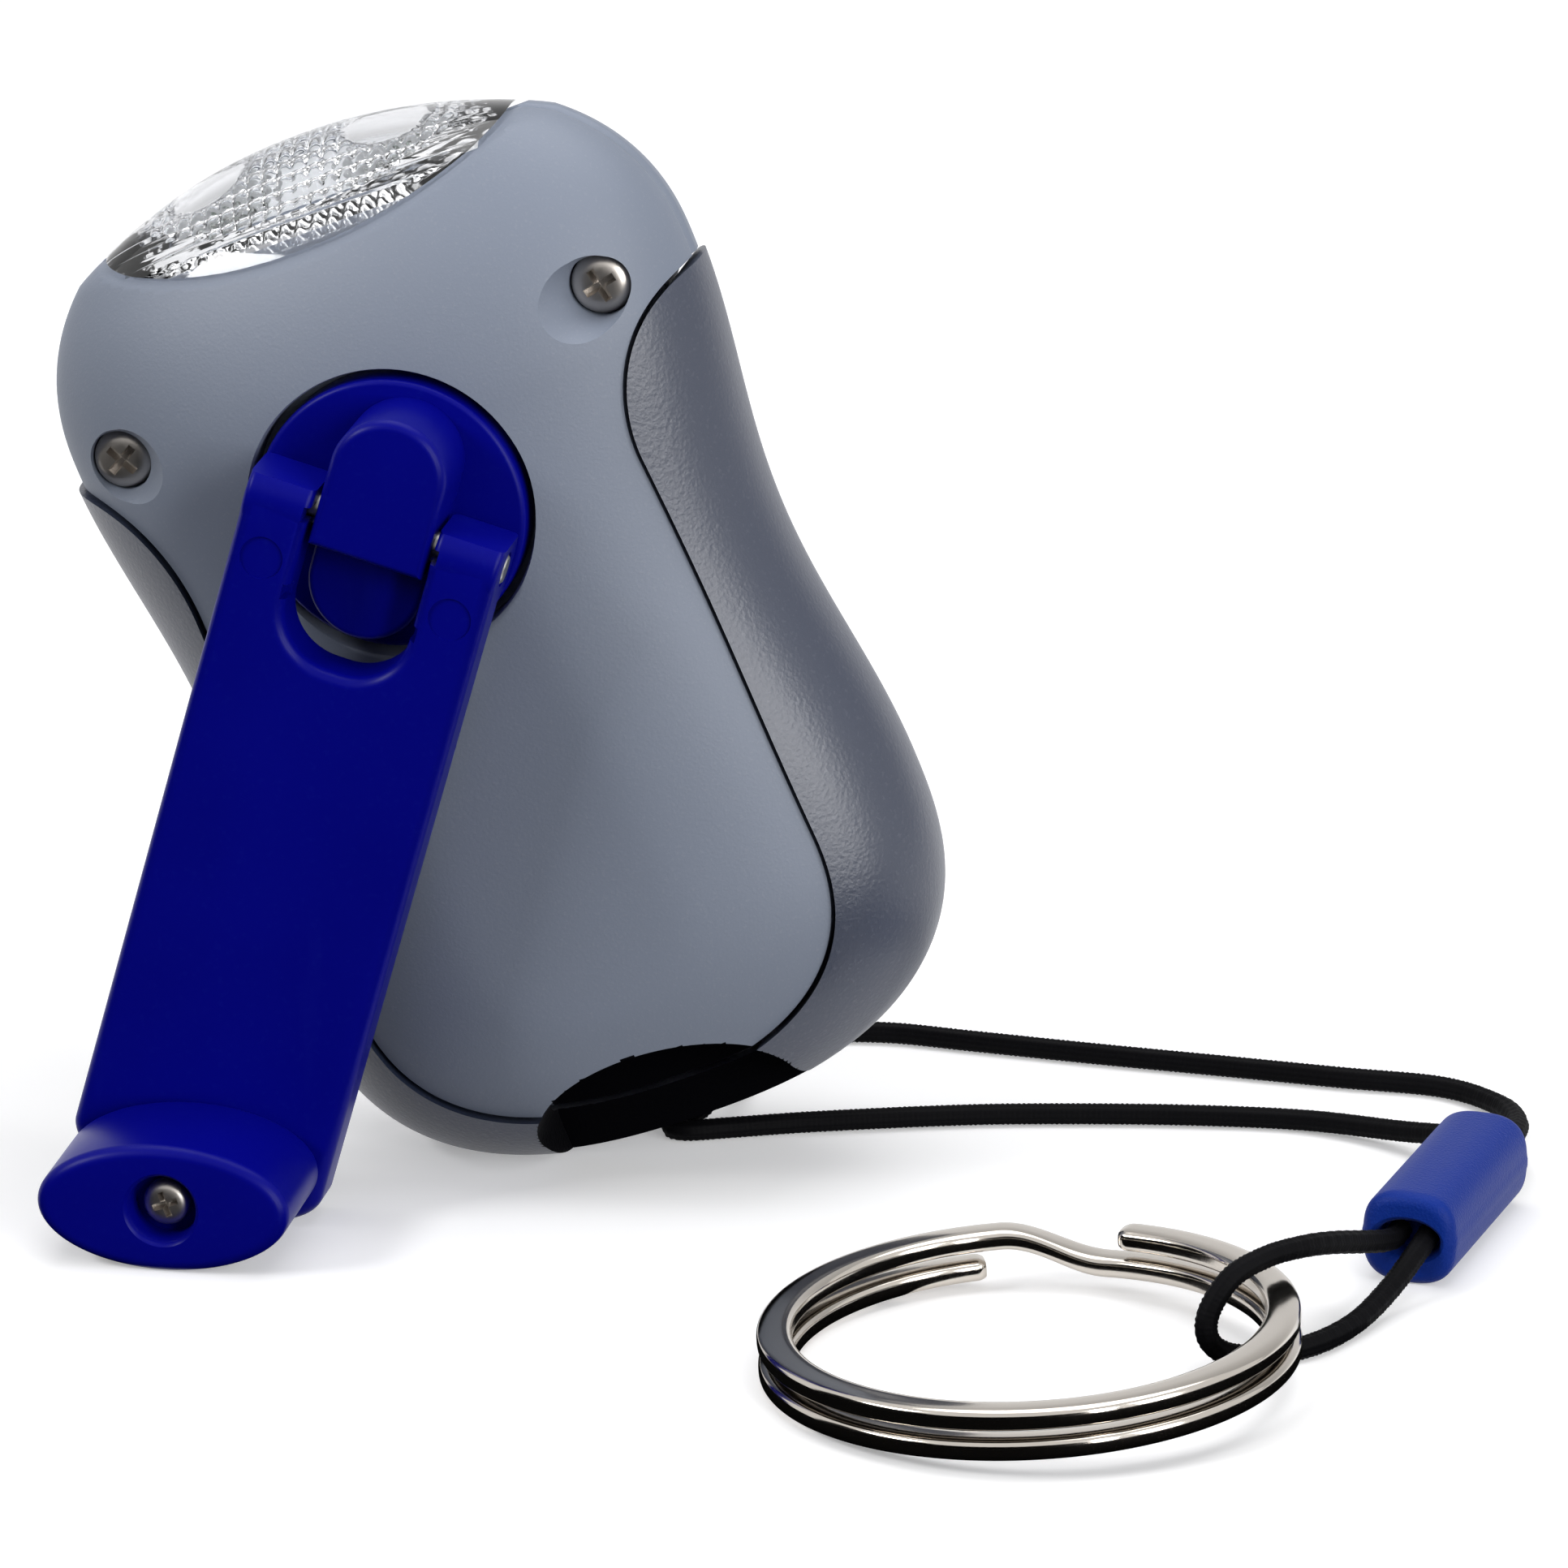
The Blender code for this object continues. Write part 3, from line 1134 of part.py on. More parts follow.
def centre_on_origin(table, torch, meshes):
    """Put the middle of the torch's footprint over the origin and its lowest point at the table."""
    bpy.context.view_layer.update()
    graph = bpy.context.evaluated_depsgraph_get()
    spots = []
    for item in meshes:
        if item.name in ("cord_slider", "split_ring"):
            continue
        ready = item.evaluated_get(graph)
        spots += [ready.matrix_world @ corner.co for corner in ready.data.vertices]
    low = [min(spot[axis] for spot in spots) for axis in range(3)]
    high = [max(spot[axis] for spot in spots) for axis in range(3)]
    table.location.x -= (low[0] + high[0]) / 2
    table.location.y -= (low[1] + high[1]) / 2
    torch.location.z -= low[2]
    bpy.context.view_layer.update()
    print("crank axis at", [round(value, 5) for value in torch.matrix_world.translation])


make_rear_shell()
make_front_shell()
make_grip_band()
make_lens()
make_lights()
make_case_screws()
make_gear_train()
make_gear_plate()
make_generator()
make_power()
make_crank_hub()
make_crank_arm()
make_hinge_pin()
make_knob()
make_knob_screw()
make_lanyard_bar()
make_cords()
make_slider()
make_split_ring()
assemble()
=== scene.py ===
import json
import math

import bmesh
import bpy
import numpy as np
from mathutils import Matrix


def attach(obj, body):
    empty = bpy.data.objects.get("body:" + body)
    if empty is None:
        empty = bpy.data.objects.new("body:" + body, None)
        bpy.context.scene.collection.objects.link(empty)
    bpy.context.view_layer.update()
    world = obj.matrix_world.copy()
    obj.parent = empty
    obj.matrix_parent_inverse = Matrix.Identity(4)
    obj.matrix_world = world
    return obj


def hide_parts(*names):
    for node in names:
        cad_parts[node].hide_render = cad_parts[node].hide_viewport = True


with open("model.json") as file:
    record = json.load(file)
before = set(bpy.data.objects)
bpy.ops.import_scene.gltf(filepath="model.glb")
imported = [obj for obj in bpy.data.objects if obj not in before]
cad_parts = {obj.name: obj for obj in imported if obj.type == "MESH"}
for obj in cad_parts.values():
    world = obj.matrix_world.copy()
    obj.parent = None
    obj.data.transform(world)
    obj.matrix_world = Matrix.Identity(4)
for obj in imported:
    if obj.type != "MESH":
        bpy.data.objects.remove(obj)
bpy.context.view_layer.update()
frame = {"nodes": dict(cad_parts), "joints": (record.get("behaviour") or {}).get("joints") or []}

mm = 0.001
joints = {joint["name"]: joint for joint in frame["joints"]}


# Places. Every piece is worked out in millimetres in its own frame and put in the world by one of these.
foldAxis = joints["arm_fold"]["axis"]
roll = math.radians(22.6)  # lean of the housing
swing = math.atan2(foldAxis[2], -foldAxis[0])  # lean of the unfolded arm
crankPoint = np.array(joints["crank_spin"]["pos_m"])
knobPoint = np.array(joints["knob_spin"]["pos_m"]) * [1, 0, 1] + crankPoint * [0, 1, 0]
ringPoint = np.array(joints["ring_turn"]["pos_m"])
ringTilt = math.asin(-joints["ring_turn"]["axis"][0])
beadSpot = np.array([60.85, -6.6, 2.75])
beadTurn = math.radians(-10.6)


def turnY(points, angle):
    x, y, z = np.moveaxis(np.asarray(points, float), -1, 0)
    c, s = math.cos(angle), math.sin(angle)
    return np.stack([x * c + z * s, y, z * c - x * s], axis=-1)


def onTorch(points):
    return turnY(points * mm, -roll) + crankPoint


def onArm(points):
    return turnY(points * mm, swing) + crankPoint


def onKnob(points):
    return points * mm + knobPoint


def onTable(points):
    return points * mm + crankPoint * [1, 1, 0]


def onRing(points):
    return turnY(points * mm, -ringTilt) + ringPoint


def onBead(points):
    x, y, z = np.moveaxis(points, -1, 0)
    c, s = math.cos(beadTurn), math.sin(beadTurn)
    return onTable(np.stack([x * c - y * s, x * s + y * c, z], axis=-1) + beadSpot)


# Camera
cameraLook = {"point": (109.56, -487.97, 183.59), "down": 17.91, "yaw": 10.3, "focal": 11000 / 1932 * 36}


def makeCamera():
    data = bpy.data.cameras.new("camera")
    data.lens = cameraLook["focal"]
    data.sensor_width = 36
    data.clip_start, data.clip_end = 0.02, 20
    item = bpy.data.objects.new("camera", data)
    item.location = onTable(np.array(cameraLook["point"]))
    item.rotation_euler = (math.radians(90 - cameraLook["down"]), 0, math.radians(cameraLook["yaw"]))
    bpy.context.scene.collection.objects.link(item)
    bpy.context.scene.camera = item


makeCamera()
print("camera ready")


# Mesh tools
def newPiece(name, points, faces, place, smooth=40):
    mesh = bpy.data.meshes.new(name)
    mesh.from_pydata(place(np.asarray(points, float)).tolist(), [], faces)
    shape = bmesh.new()
    shape.from_mesh(mesh)
    bmesh.ops.recalc_face_normals(shape, faces=shape.faces)
    shape.to_mesh(mesh)
    shape.free()
    item = bpy.data.objects.new(name, mesh)
    bpy.context.scene.collection.objects.link(item)
    soften(item, smooth)
    return item


def soften(item, angle=40):
    item.data.shade_smooth()
    item.data.set_sharp_from_angle(angle=math.radians(angle))


# Angles once round a circle, the first a share of a step on
def aroundTurn(count, shift=0.0):
    return (np.arange(count) + shift) * 2 * math.pi / count


def unit(vectors):
    return vectors / np.linalg.norm(vectors, axis=-1, keepdims=True)


# Each array spread to one size and taken as X, Y and Z
def pointGrid(x, y, z):
    return np.stack(np.broadcast_arrays(x, y, z), axis=-1)


# Numbers of a grid's points, of their neighbours round the columns, and the quads between rows
def ringQuads(rows, columns):
    index = np.arange(rows * columns).reshape(rows, columns)
    after = np.roll(index, -1, axis=1)
    quads = np.stack([index[:-1], after[:-1], after[1:], index[1:]], axis=-1).reshape(-1, 4)
    return index, after, quads.tolist()


# A grid of rows by columns, closed round its columns, each end closed by a fan to its middle
def tubeFaces(rows, columns):
    index, after, quads = ringQuads(rows, columns)
    low, high = rows * columns, rows * columns + 1
    start = np.stack([after[0], index[0], np.full(columns, low)], axis=-1)
    end = np.stack([index[-1], after[-1], np.full(columns, high)], axis=-1)
    return quads + start.tolist() + end.tolist()


def tubePiece(name, grid, place, smooth=40):
    rows, columns = grid.shape[:2]
    ends = np.stack([grid[0].mean(axis=0), grid[-1].mean(axis=0)])
    points = np.concatenate([grid.reshape(-1, 3), ends])
    return newPiece(name, points, tubeFaces(rows, columns), place, smooth)


def outwards(outline):
    ahead = np.roll(outline, -1, axis=0) - np.roll(outline, 1, axis=0)
    normal = unit(np.stack([ahead[:, 1], -ahead[:, 0]], axis=1))
    x, z = outline.T
    area = np.sum(x * np.roll(z, -1) - np.roll(x, -1) * z)
    return normal if area > 0 else -normal


# An outline in X and Z carried along Y through rows of (drawn in by, y), its two ends flat faces
def padPiece(name, outline, profile, place, smooth=40):
    normal = outwards(outline)
    rows = [outline - inset * normal for inset, _ in profile]
    grid = np.stack([np.insert(row, 1, y, axis=1) for row, (_, y) in zip(rows, profile)])
    index, _, quads = ringQuads(*grid.shape[:2])
    faces = quads + [index[0][::-1].tolist(), index[-1].tolist()]
    return newPiece(name, grid.reshape(-1, 3), faces, place, smooth)


# Rows for padPiece with both rims rounded: a quarter circle of (inset, y) at each end
def roundedRows(rear, front, rearEdge, frontEdge, steps=5):
    turn = np.linspace(0, math.pi / 2, steps)
    low = [(rearEdge * (1 - math.sin(a)), rear + rearEdge * (1 - math.cos(a))) for a in turn]
    high = [(frontEdge * (1 - math.sin(a)), front - frontEdge * (1 - math.cos(a))) for a in turn]
    return low + high[::-1]


def circleOutline(radius, x=0.0, z=0.0, count=64):
    return ovalOutline(radius, radius, x, z, count)


def ovalOutline(halfX, halfZ, x=0.0, z=0.0, count=96):
    turn = aroundTurn(count)
    return np.stack([x + halfX * np.cos(turn), z + halfZ * np.sin(turn)], axis=1)


def blockPiece(name, low, high, place):
    outline = np.array([(low[0], low[2]), (high[0], low[2]), (high[0], high[2]), (low[0], high[2])], float)
    return padPiece(name, outline, [(0, low[1]), (0, high[1])], place)


def carve(item, tool, operation="DIFFERENCE"):
    change = item.modifiers.new(tool.name, "BOOLEAN")
    change.operation = operation
    change.solver = "MANIFOLD"
    change.object = tool
    tool.hide_render = True
    return item


# Turns what the Booleans leave into the piece's own mesh and removes the cutters
def settle(item, smooth=40):
    bpy.context.view_layer.update()
    ready = item.evaluated_get(bpy.context.evaluated_depsgraph_get())
    mesh = bpy.data.meshes.new_from_object(ready)
    tools = {change.object for change in item.modifiers if change.type == "BOOLEAN"}
    item.modifiers.clear()
    item.data = mesh
    mesh.name = item.name
    for tool in tools:
        bpy.data.objects.remove(tool, do_unlink=True)
    soften(item, smooth)
    return item


def dress(item, body, material, slotName, *nodes):
    item.data.materials.clear()
    item.data.materials.append(material)
    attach(item, body)
    if nodes:
        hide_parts(*nodes)
    return item


# Shader effects that several materials share
def newGroup(name, inputs, outputs):
    group = bpy.data.node_groups.new(name, "ShaderNodeTree")
    for label, kind, value in inputs:
        socket = group.interface.new_socket(name=label, in_out="INPUT", socket_type=kind)
        if value is not None:
            socket.default_value = value
    for label, kind in outputs:
        group.interface.new_socket(name=label, in_out="OUTPUT", socket_type=kind)
    return group, group.nodes.new("NodeGroupInput"), group.nodes.new("NodeGroupOutput")


def addMath(tree, operation, first, second=0.5, clamp=False):
    node = tree.nodes.new("ShaderNodeMath")
    node.operation = operation
    node.use_clamp = clamp
    for socket, value in zip(node.inputs, (first, second)):
        if isinstance(value, bpy.types.NodeSocket):
            tree.links.new(value, socket)
        else:
            socket.default_value = value
    return node.outputs[0]


def addNoise(tree, vector, scale, detail=2.0, roughness=0.5):
    node = tree.nodes.new("ShaderNodeTexNoise")
    node.inputs["Detail"].default_value = detail
    node.inputs["Roughness"].default_value = roughness
    tree.links.new(vector, node.inputs["Vector"])
    if isinstance(scale, bpy.types.NodeSocket):
        tree.links.new(scale, node.inputs["Scale"])
    else:
        node.inputs["Scale"].default_value = scale
    return node.outputs["Fac"]


# Moulded grain: fine noise for the height, with a speckle and a slow drift over the surface
def makeGrainGroup():
    inputs = [("Vector", "NodeSocketVector", None), ("Fine Scale", "NodeSocketFloat", 5000.0)]
    inputs += [("Drift Scale", "NodeSocketFloat", 60.0)]
    outputs = [("Height", "NodeSocketFloat"), ("Speckle", "NodeSocketFloat"), ("Drift", "NodeSocketFloat")]
    group, source, result = newGroup("mouldedGrain", inputs, outputs)
    fine = addNoise(group, source.outputs["Vector"], source.outputs["Fine Scale"], 3.0, 0.6)
    cells = group.nodes.new("ShaderNodeTexVoronoi")
    group.links.new(source.outputs["Vector"], cells.inputs["Vector"])
    group.links.new(source.outputs["Fine Scale"], cells.inputs["Scale"])
    pits = addMath(group, "MULTIPLY", cells.outputs["Distance"], 0.3)
    height = addMath(group, "ADD", addMath(group, "MULTIPLY", fine, 0.7), pits)
    speckle = addMath(group, "GREATER_THAN", fine, 0.62)
    drift = addNoise(group, source.outputs["Vector"], source.outputs["Drift Scale"], 2.0)
    group.links.new(height, result.inputs["Height"])
    group.links.new(speckle, result.inputs["Speckle"])
    group.links.new(drift, result.inputs["Drift"])
    return group


# Light handling marks: thin stretched noise kept only at its peaks
def makeScuffGroup():
    inputs = [("Vector", "NodeSocketVector", None), ("Scale", "NodeSocketFloat", 300.0)]
    group, source, result = newGroup("scuffs", inputs, [("Mask", "NodeSocketFloat")])
    stretch = group.nodes.new("ShaderNodeMapping")
    stretch.inputs["Scale"].default_value = (1.0, 1.0, 0.12)
    group.links.new(source.outputs["Vector"], stretch.inputs["Vector"])
    lines = addNoise(group, stretch.outputs["Vector"], source.outputs["Scale"], 4.0, 0.7)
    patches = addNoise(group, source.outputs["Vector"], 120.0, 1.0)
    mask = addMath(group, "MULTIPLY", addMath(group, "SUBTRACT", lines, 0.6, True), patches)
    group.links.new(addMath(group, "MULTIPLY", mask, 6.0, True), result.inputs["Mask"])
    return group


grainGroup = makeGrainGroup()
scuffGroup = makeScuffGroup()


def newMaterial(name):
    material = bpy.data.materials.new(name)
    material.use_nodes = True
    return material, material.node_tree, material.node_tree.nodes["Principled BSDF"]


def addMix(tree, factor, first, second):
    node = tree.nodes.new("ShaderNodeMix")
    node.data_type = "RGBA"
    tree.links.new(factor, node.inputs["Factor"])
    for socket, value in ((node.inputs["A"], first), (node.inputs["B"], second)):
        if isinstance(value, bpy.types.NodeSocket):
            tree.links.new(value, socket)
        else:
            socket.default_value = (*value, 1)
    return node.outputs["Result"]


def addRange(tree, value, low, high):
    node = tree.nodes.new("ShaderNodeMapRange")
    tree.links.new(value, node.inputs["Value"])
    node.inputs["To Min"].default_value = low
    node.inputs["To Max"].default_value = high
    return node.outputs["Result"]


def addBump(tree, height, strength, distance):
    node = tree.nodes.new("ShaderNodeBump")
    node.inputs["Strength"].default_value = strength
    node.inputs["Distance"].default_value = distance
    tree.links.new(height, node.inputs["Height"])
    return node.outputs["Normal"]


# Painted shade for the knob bay: near-black colour and almost no reflection, standing in for the bay's deep
# shadow
paintedBayShade = {"colour": (0.002, 0.002, 0.003), "specular": 0.01}  # inside the knob bay


# Plastic and soft-touch coats: drifting colour, fine speckle, grain in the bump, scuffs that lighten, and,
# where a shade attribute is given, painted shade that blackens the knob bay
def mouldedMaterial(name, look, shade=None):
    material, tree, shader = newMaterial(name)
    where = tree.nodes.new("ShaderNodeTexCoord").outputs["Object"]
    grain = tree.nodes.new("ShaderNodeGroup")
    grain.node_tree = grainGroup
    grain.inputs["Fine Scale"].default_value = look["grainScale"]
    grain.inputs["Drift Scale"].default_value = look.get("driftScale", 60)
    tree.links.new(where, grain.inputs["Vector"])
    scuff = tree.nodes.new("ShaderNodeGroup")
    scuff.node_tree = scuffGroup
    tree.links.new(where, scuff.inputs["Vector"])
    base = np.array(look["colour"])
    pale = look["speckleColour"]
    colour = addMix(tree, grain.outputs["Drift"], base * (1 - look["drift"]), base * (1 + look["drift"]))
    colour = addMix(tree, addMath(tree, "MULTIPLY", grain.outputs["Speckle"], look["speckle"]), colour, pale)
    colour = addMix(tree, addMath(tree, "MULTIPLY", scuff.outputs["Mask"], look["scuff"]), colour, pale)
    shader.inputs["Specular IOR Level"].default_value = look.get("specular", 0.5)
    # Painted shade: where the attribute is 1, the colour goes near-black and the reflection is cut, for the
    # knob bay's shadow
    if shade:
        mask = tree.nodes.new("ShaderNodeAttribute")
        mask.attribute_name = shade
        colour = addMix(tree, mask.outputs["Fac"], colour, paintedBayShade["colour"])
        shine = addRange(tree, mask.outputs["Fac"], look["specular"], paintedBayShade["specular"])
        tree.links.new(shine, shader.inputs["Specular IOR Level"])
    tree.links.new(colour, shader.inputs["Base Color"])
    tree.links.new(addRange(tree, grain.outputs["Drift"], *look["rough"]), shader.inputs["Roughness"])
    bump = addBump(tree, grain.outputs["Height"], look["bump"], look["bumpDepth"] * mm)
    tree.links.new(bump, shader.inputs["Normal"])
    shader.inputs["Sheen Weight"].default_value = look.get("sheen", 0.0)
    shader.inputs["Sheen Roughness"].default_value = 0.4
    return material


shellLook = {
    "colour": (0.205, 0.235, 0.298), "drift": 0.04, "speckle": 0.12, "speckleColour": (0.34, 0.36, 0.40),
    "scuff": 0.05, "grainScale": 5200, "bump": 0.55, "bumpDepth": 0.03, "rough": (0.46, 0.54),
    "specular": 0.45,
}
gripLook = {
    "colour": (0.017, 0.026, 0.056), "drift": 0.05, "speckle": 0.10, "speckleColour": (0.20, 0.22, 0.27),
    "scuff": 0.03, "grainScale": 3600, "bump": 0.75, "bumpDepth": 0.045, "rough": (0.34, 0.42),
    "specular": 0.9, "sheen": 0.03,
}
crankLook = {
    "colour": (0.0008, 0.0014, 0.205), "drift": 0.08, "speckle": 0.03, "speckleColour": (0.02, 0.04, 0.36),
    "scuff": 0.1, "grainScale": 2600, "bump": 0.12, "bumpDepth": 0.02, "rough": (0.3, 0.38),
    "specular": 0.1, "driftScale": 130,
}
beadLook = {
    "colour": (0.003, 0.024, 0.22), "drift": 0.06, "speckle": 0.2, "speckleColour": (0.02, 0.06, 0.32),
    "scuff": 0.05, "grainScale": 6500, "bump": 0.9, "bumpDepth": 0.05, "rough": (0.4, 0.5), "sheen": 0.02,
    "specular": 0.12,
}
whiteLook = {
    "colour": (0.80, 0.81, 0.82), "drift": 0.02, "speckle": 0.0, "speckleColour": (0.9, 0.9, 0.9),
    "scuff": 0.0, "grainScale": 3000, "bump": 0.05, "bumpDepth": 0.02, "rough": (0.2, 0.28),
}
gearLook = dict(whiteLook, colour=(0.66, 0.66, 0.60), rough=(0.4, 0.5), bump=0.2)
boardLook = dict(whiteLook, colour=(0.02, 0.15, 0.05), rough=(0.35, 0.45), bump=0.3, drift=0.15)
blackLook = dict(whiteLook, colour=(0.02, 0.02, 0.022), rough=(0.4, 0.5), bump=0.2)
copperLook = dict(whiteLook, colour=(0.55, 0.20, 0.07), rough=(0.3, 0.42), bump=0.4)

# Shell and grip take painted shade in the knob bay through the face attribute named recess
shellMaterial = mouldedMaterial("greyShell", shellLook, "recess")
gripMaterial = mouldedMaterial("softGrip", gripLook, "recess")
crankMaterial = mouldedMaterial("cobaltCrank", crankLook)
beadMaterial = mouldedMaterial("frostedBead", beadLook)
whiteMaterial = mouldedMaterial("whitePlastic", whiteLook)
gearMaterial = mouldedMaterial("gearPlastic", gearLook)
boardMaterial = mouldedMaterial("lacqueredBoard", boardLook)
blackMaterial = mouldedMaterial("blackPlastic", blackLook)
copperMaterial = mouldedMaterial("copperWinding", copperLook)


# Metal: a tint that drifts, fine noise in the roughness and a faint bump
def metalMaterial(name, look):
    material, tree, shader = newMaterial(name)
    where = tree.nodes.new("ShaderNodeTexCoord").outputs["Object"]
    drift = addNoise(tree, where, look["driftScale"], 3.0)
    base = np.array(look["colour"])
    tree.links.new(addMix(tree, drift, base * 0.9, np.minimum(base * 1.08, 1)), shader.inputs["Base Color"])
    fine = addNoise(tree, where, look["fineScale"], 4.0, 0.7)
    tree.links.new(addRange(tree, fine, *look["rough"]), shader.inputs["Roughness"])
    tree.links.new(addBump(tree, fine, look["bump"], 0.01 * mm), shader.inputs["Normal"])
    shader.inputs["Metallic"].default_value = 1.0
    return material


nickelLook = {
    "colour": (0.56, 0.52, 0.47), "driftScale": 90, "fineScale": 2400, "rough": (0.08, 0.16), "bump": 0.15,
}
screwLook = {
    "colour": (0.60, 0.56, 0.52), "driftScale": 400, "fineScale": 3000, "rough": (0.32, 0.46), "bump": 0.3,
}
steelLook = {
    "colour": (0.50, 0.50, 0.49), "driftScale": 200, "fineScale": 2500, "rough": (0.25, 0.4), "bump": 0.3,
}

nickelMaterial = metalMaterial("brightNickel", nickelLook)
screwMaterial = metalMaterial("platedScrew", screwLook)
steelMaterial = metalMaterial("plainSteel", steelLook)


# Clear plastic: a slow haze in its tint and roughness, waves of a moulded surface in its bump
def clearMaterial(name, colour, roughness):
    material, tree, shader = newMaterial(name)
    where = tree.nodes.new("ShaderNodeTexCoord").outputs["Object"]
    haze = addNoise(tree, where, 220, 2.0)
    tree.links.new(addMix(tree, haze, np.array(colour) * 0.97, colour), shader.inputs["Base Color"])
    tree.links.new(addRange(tree, haze, roughness, roughness + 0.03), shader.inputs["Roughness"])
    tree.links.new(addBump(tree, addNoise(tree, where, 900, 2.0), 0.1, 0.01 * mm), shader.inputs["Normal"])
    shader.inputs["Transmission Weight"].default_value = 1.0
    shader.inputs["IOR"].default_value = 1.49
    return material


lensMaterial = clearMaterial("clearLens", (0.97, 0.98, 1.0), 0.02)
lampMaterial = clearMaterial("clearLamp", (0.96, 0.97, 0.94), 0.04)
print("materials ready")


# Housing form: half sizes by height, both worked on whole arrays
form = {
    "baseHalf": 19.6, "baseZ": -26.5, "baseDrop": 15.0, "basePower": 2.6, "waistHalf": 18.0, "waistZ": -9.6,
    "headHalf": 19.7, "headZ": 7.6, "headRise": 13.9, "headPower": 2.2, "lensHalf": 13.7, "crown": 2.9,
    "top": 20.7, "depthHalf": 11.1, "flatHalf": 10.7, "power": 2.2, "noseZ": 4.0, "nosePower": 1.8,
    "fit": 0.996, "blend": 0.1, "crowd": 0.42, "seam": 0.5, "seamReach": 0.75,
}
gap = 0.3


# What is left of one half size at a share of the other, on a curve between an ellipse and a box
def superOval(share, power):
    return np.clip(1 - np.clip(np.abs(share), 0, 1) ** power, 0, None) ** (1 / power)


def easeBetween(low, high, share):
    return low + (high - low) * (1 - np.cos(np.pi * np.clip(share, 0, 1))) / 2


def halfWidth(z, inset):
    f = form
    base = (f["baseHalf"] - inset) * superOval((f["baseZ"] - z) / (f["baseDrop"] - inset), f["basePower"])
    low = easeBetween(f["waistHalf"], f["baseHalf"], (f["waistZ"] - z) / (f["waistZ"] - f["baseZ"])) - inset
    mid = easeBetween(f["waistHalf"], f["headHalf"], (z - f["waistZ"]) / (f["headZ"] - f["waistZ"])) - inset
    head = (f["headHalf"] - inset) * superOval((z - f["headZ"]) / (f["headRise"] - inset), f["headPower"])
    crownRadius = (f["lensHalf"] ** 2 + f["crown"] ** 2) / (2 * f["crown"])
    dome = np.sqrt(np.clip((crownRadius - inset) ** 2 - (z - f["top"] + crownRadius) ** 2, 0, None))
    bands = [z < f["baseZ"], z < f["waistZ"], z < f["headZ"]]
    return np.select(bands, [base, low, mid], np.minimum(head, dome))


def halfDepth(z, inset):
    f = form
    depth = f["depthHalf"] - inset
    base = depth * superOval((f["baseZ"] - z) / (f["baseDrop"] - inset), f["basePower"])
    nose = depth * superOval((z - f["noseZ"]) / (f["top"] - f["noseZ"] - inset), f["nosePower"])
    return np.select([z < f["baseZ"], z > f["noseZ"]], [base, nose], depth)


def signedPower(value, power):
    return np.sign(value) * np.abs(value) ** power


# Points of the form at heights z and turns t: a superellipse, its front and rear eased into flats
def formPoints(z, turn, inset):
    f = form
    x = f["fit"] * halfWidth(z, inset) * signedPower(np.cos(turn), 2 / f["power"])
    y = halfDepth(z, inset) * signedPower(np.sin(turn), 2 / f["power"])
    blend = f["blend"]
    far = math.exp(-(f["flatHalf"] - inset) / blend)
    eased = blend * (math.log(1 + far) - np.log(np.exp(-np.abs(y) / blend) + far))
    return pointGrid(x, np.sign(y) * np.clip(eased, 0, None), z)


def formLevels(inset, low, middle, high):
    f = form
    start, end = f["baseZ"] - f["baseDrop"] + inset, f["top"] - inset
    lowTurn = np.linspace(math.radians(89), 0, low, endpoint=False)
    highTurn = np.linspace(0, math.radians(89), high + 1)[1:]
    levels = [f["baseZ"] - (f["baseZ"] - start) * np.sin(lowTurn)]
    levels += [np.linspace(f["baseZ"], f["noseZ"], middle + 1)]
    levels += [f["noseZ"] + (end - f["noseZ"]) * np.sin(highTurn)]
    return np.concatenate(levels)


# A whole form. With a seam, its columns crowd at the parting plane, where its surface dips by that depth
def formPiece(name, inset, place, columns=200, low=44, middle=70, high=54, seam=0.0):
    levels = formLevels(inset, low, middle, high)[:, None]
    turn = aroundTurn(columns, 0.5)
    if seam:
        turn = turn - form["crowd"] * np.sin(2 * turn)
    points = formPoints(levels, turn, inset)
    dip = np.clip(1 - np.abs(points[..., 1:2]) / form["seamReach"], 0, 1) ** 2.2
    return tubePiece(name, points * (1 - seam / 19.0 * dip), place, 30)


# The same form drawn in, with fewer points, as a hidden cutter
def corePiece(name, inset=2.3):
    return formPiece(name, inset, onTorch, 120, 20, 30, 24)


# The bare panel inside the grip, open wide above the grip's shoulders
panelLook = {
    "neckHalf": 14.0, "neckZ": -2.3, "shoulderZ": 6.4, "shoulderX": 20.5, "footHalf": 14.8, "footZ": -27.0,
    "footDrop": 10.9, "footPower": 2.4, "reach": 40.0,
}


def panelOutline(spread):
    p = panelLook
    neck, foot = p["neckHalf"] + spread, p["footHalf"] + spread
    shoulder, drop = p["shoulderZ"] - spread, p["footDrop"] + spread
    turn = np.linspace(math.pi / 2, 0, 30)
    arcX = p["shoulderX"] - (p["shoulderX"] - neck) * np.cos(turn)
    arcZ = p["neckZ"] + (shoulder - p["neckZ"]) * np.sin(turn)
    share = np.sin(np.linspace(0, math.pi / 2, 60))
    footX, footZ = foot * superOval(share, p["footPower"]), p["footZ"] - drop * share
    x = np.concatenate([[p["reach"], p["reach"]], arcX, footX])
    z = np.concatenate([[p["reach"], shoulder], arcZ, footZ])
    half = np.stack([x, z], axis=1)
    other = half[half[:, 0] > 1e-6][::-1] * [-1, 1]
    return np.concatenate([half, other])


baySizes = {"halfX": 7.4, "halfZ": 3.8, "z": -39.4, "gap": 0.5, "floor": -2.0}  # the bay that takes the knob


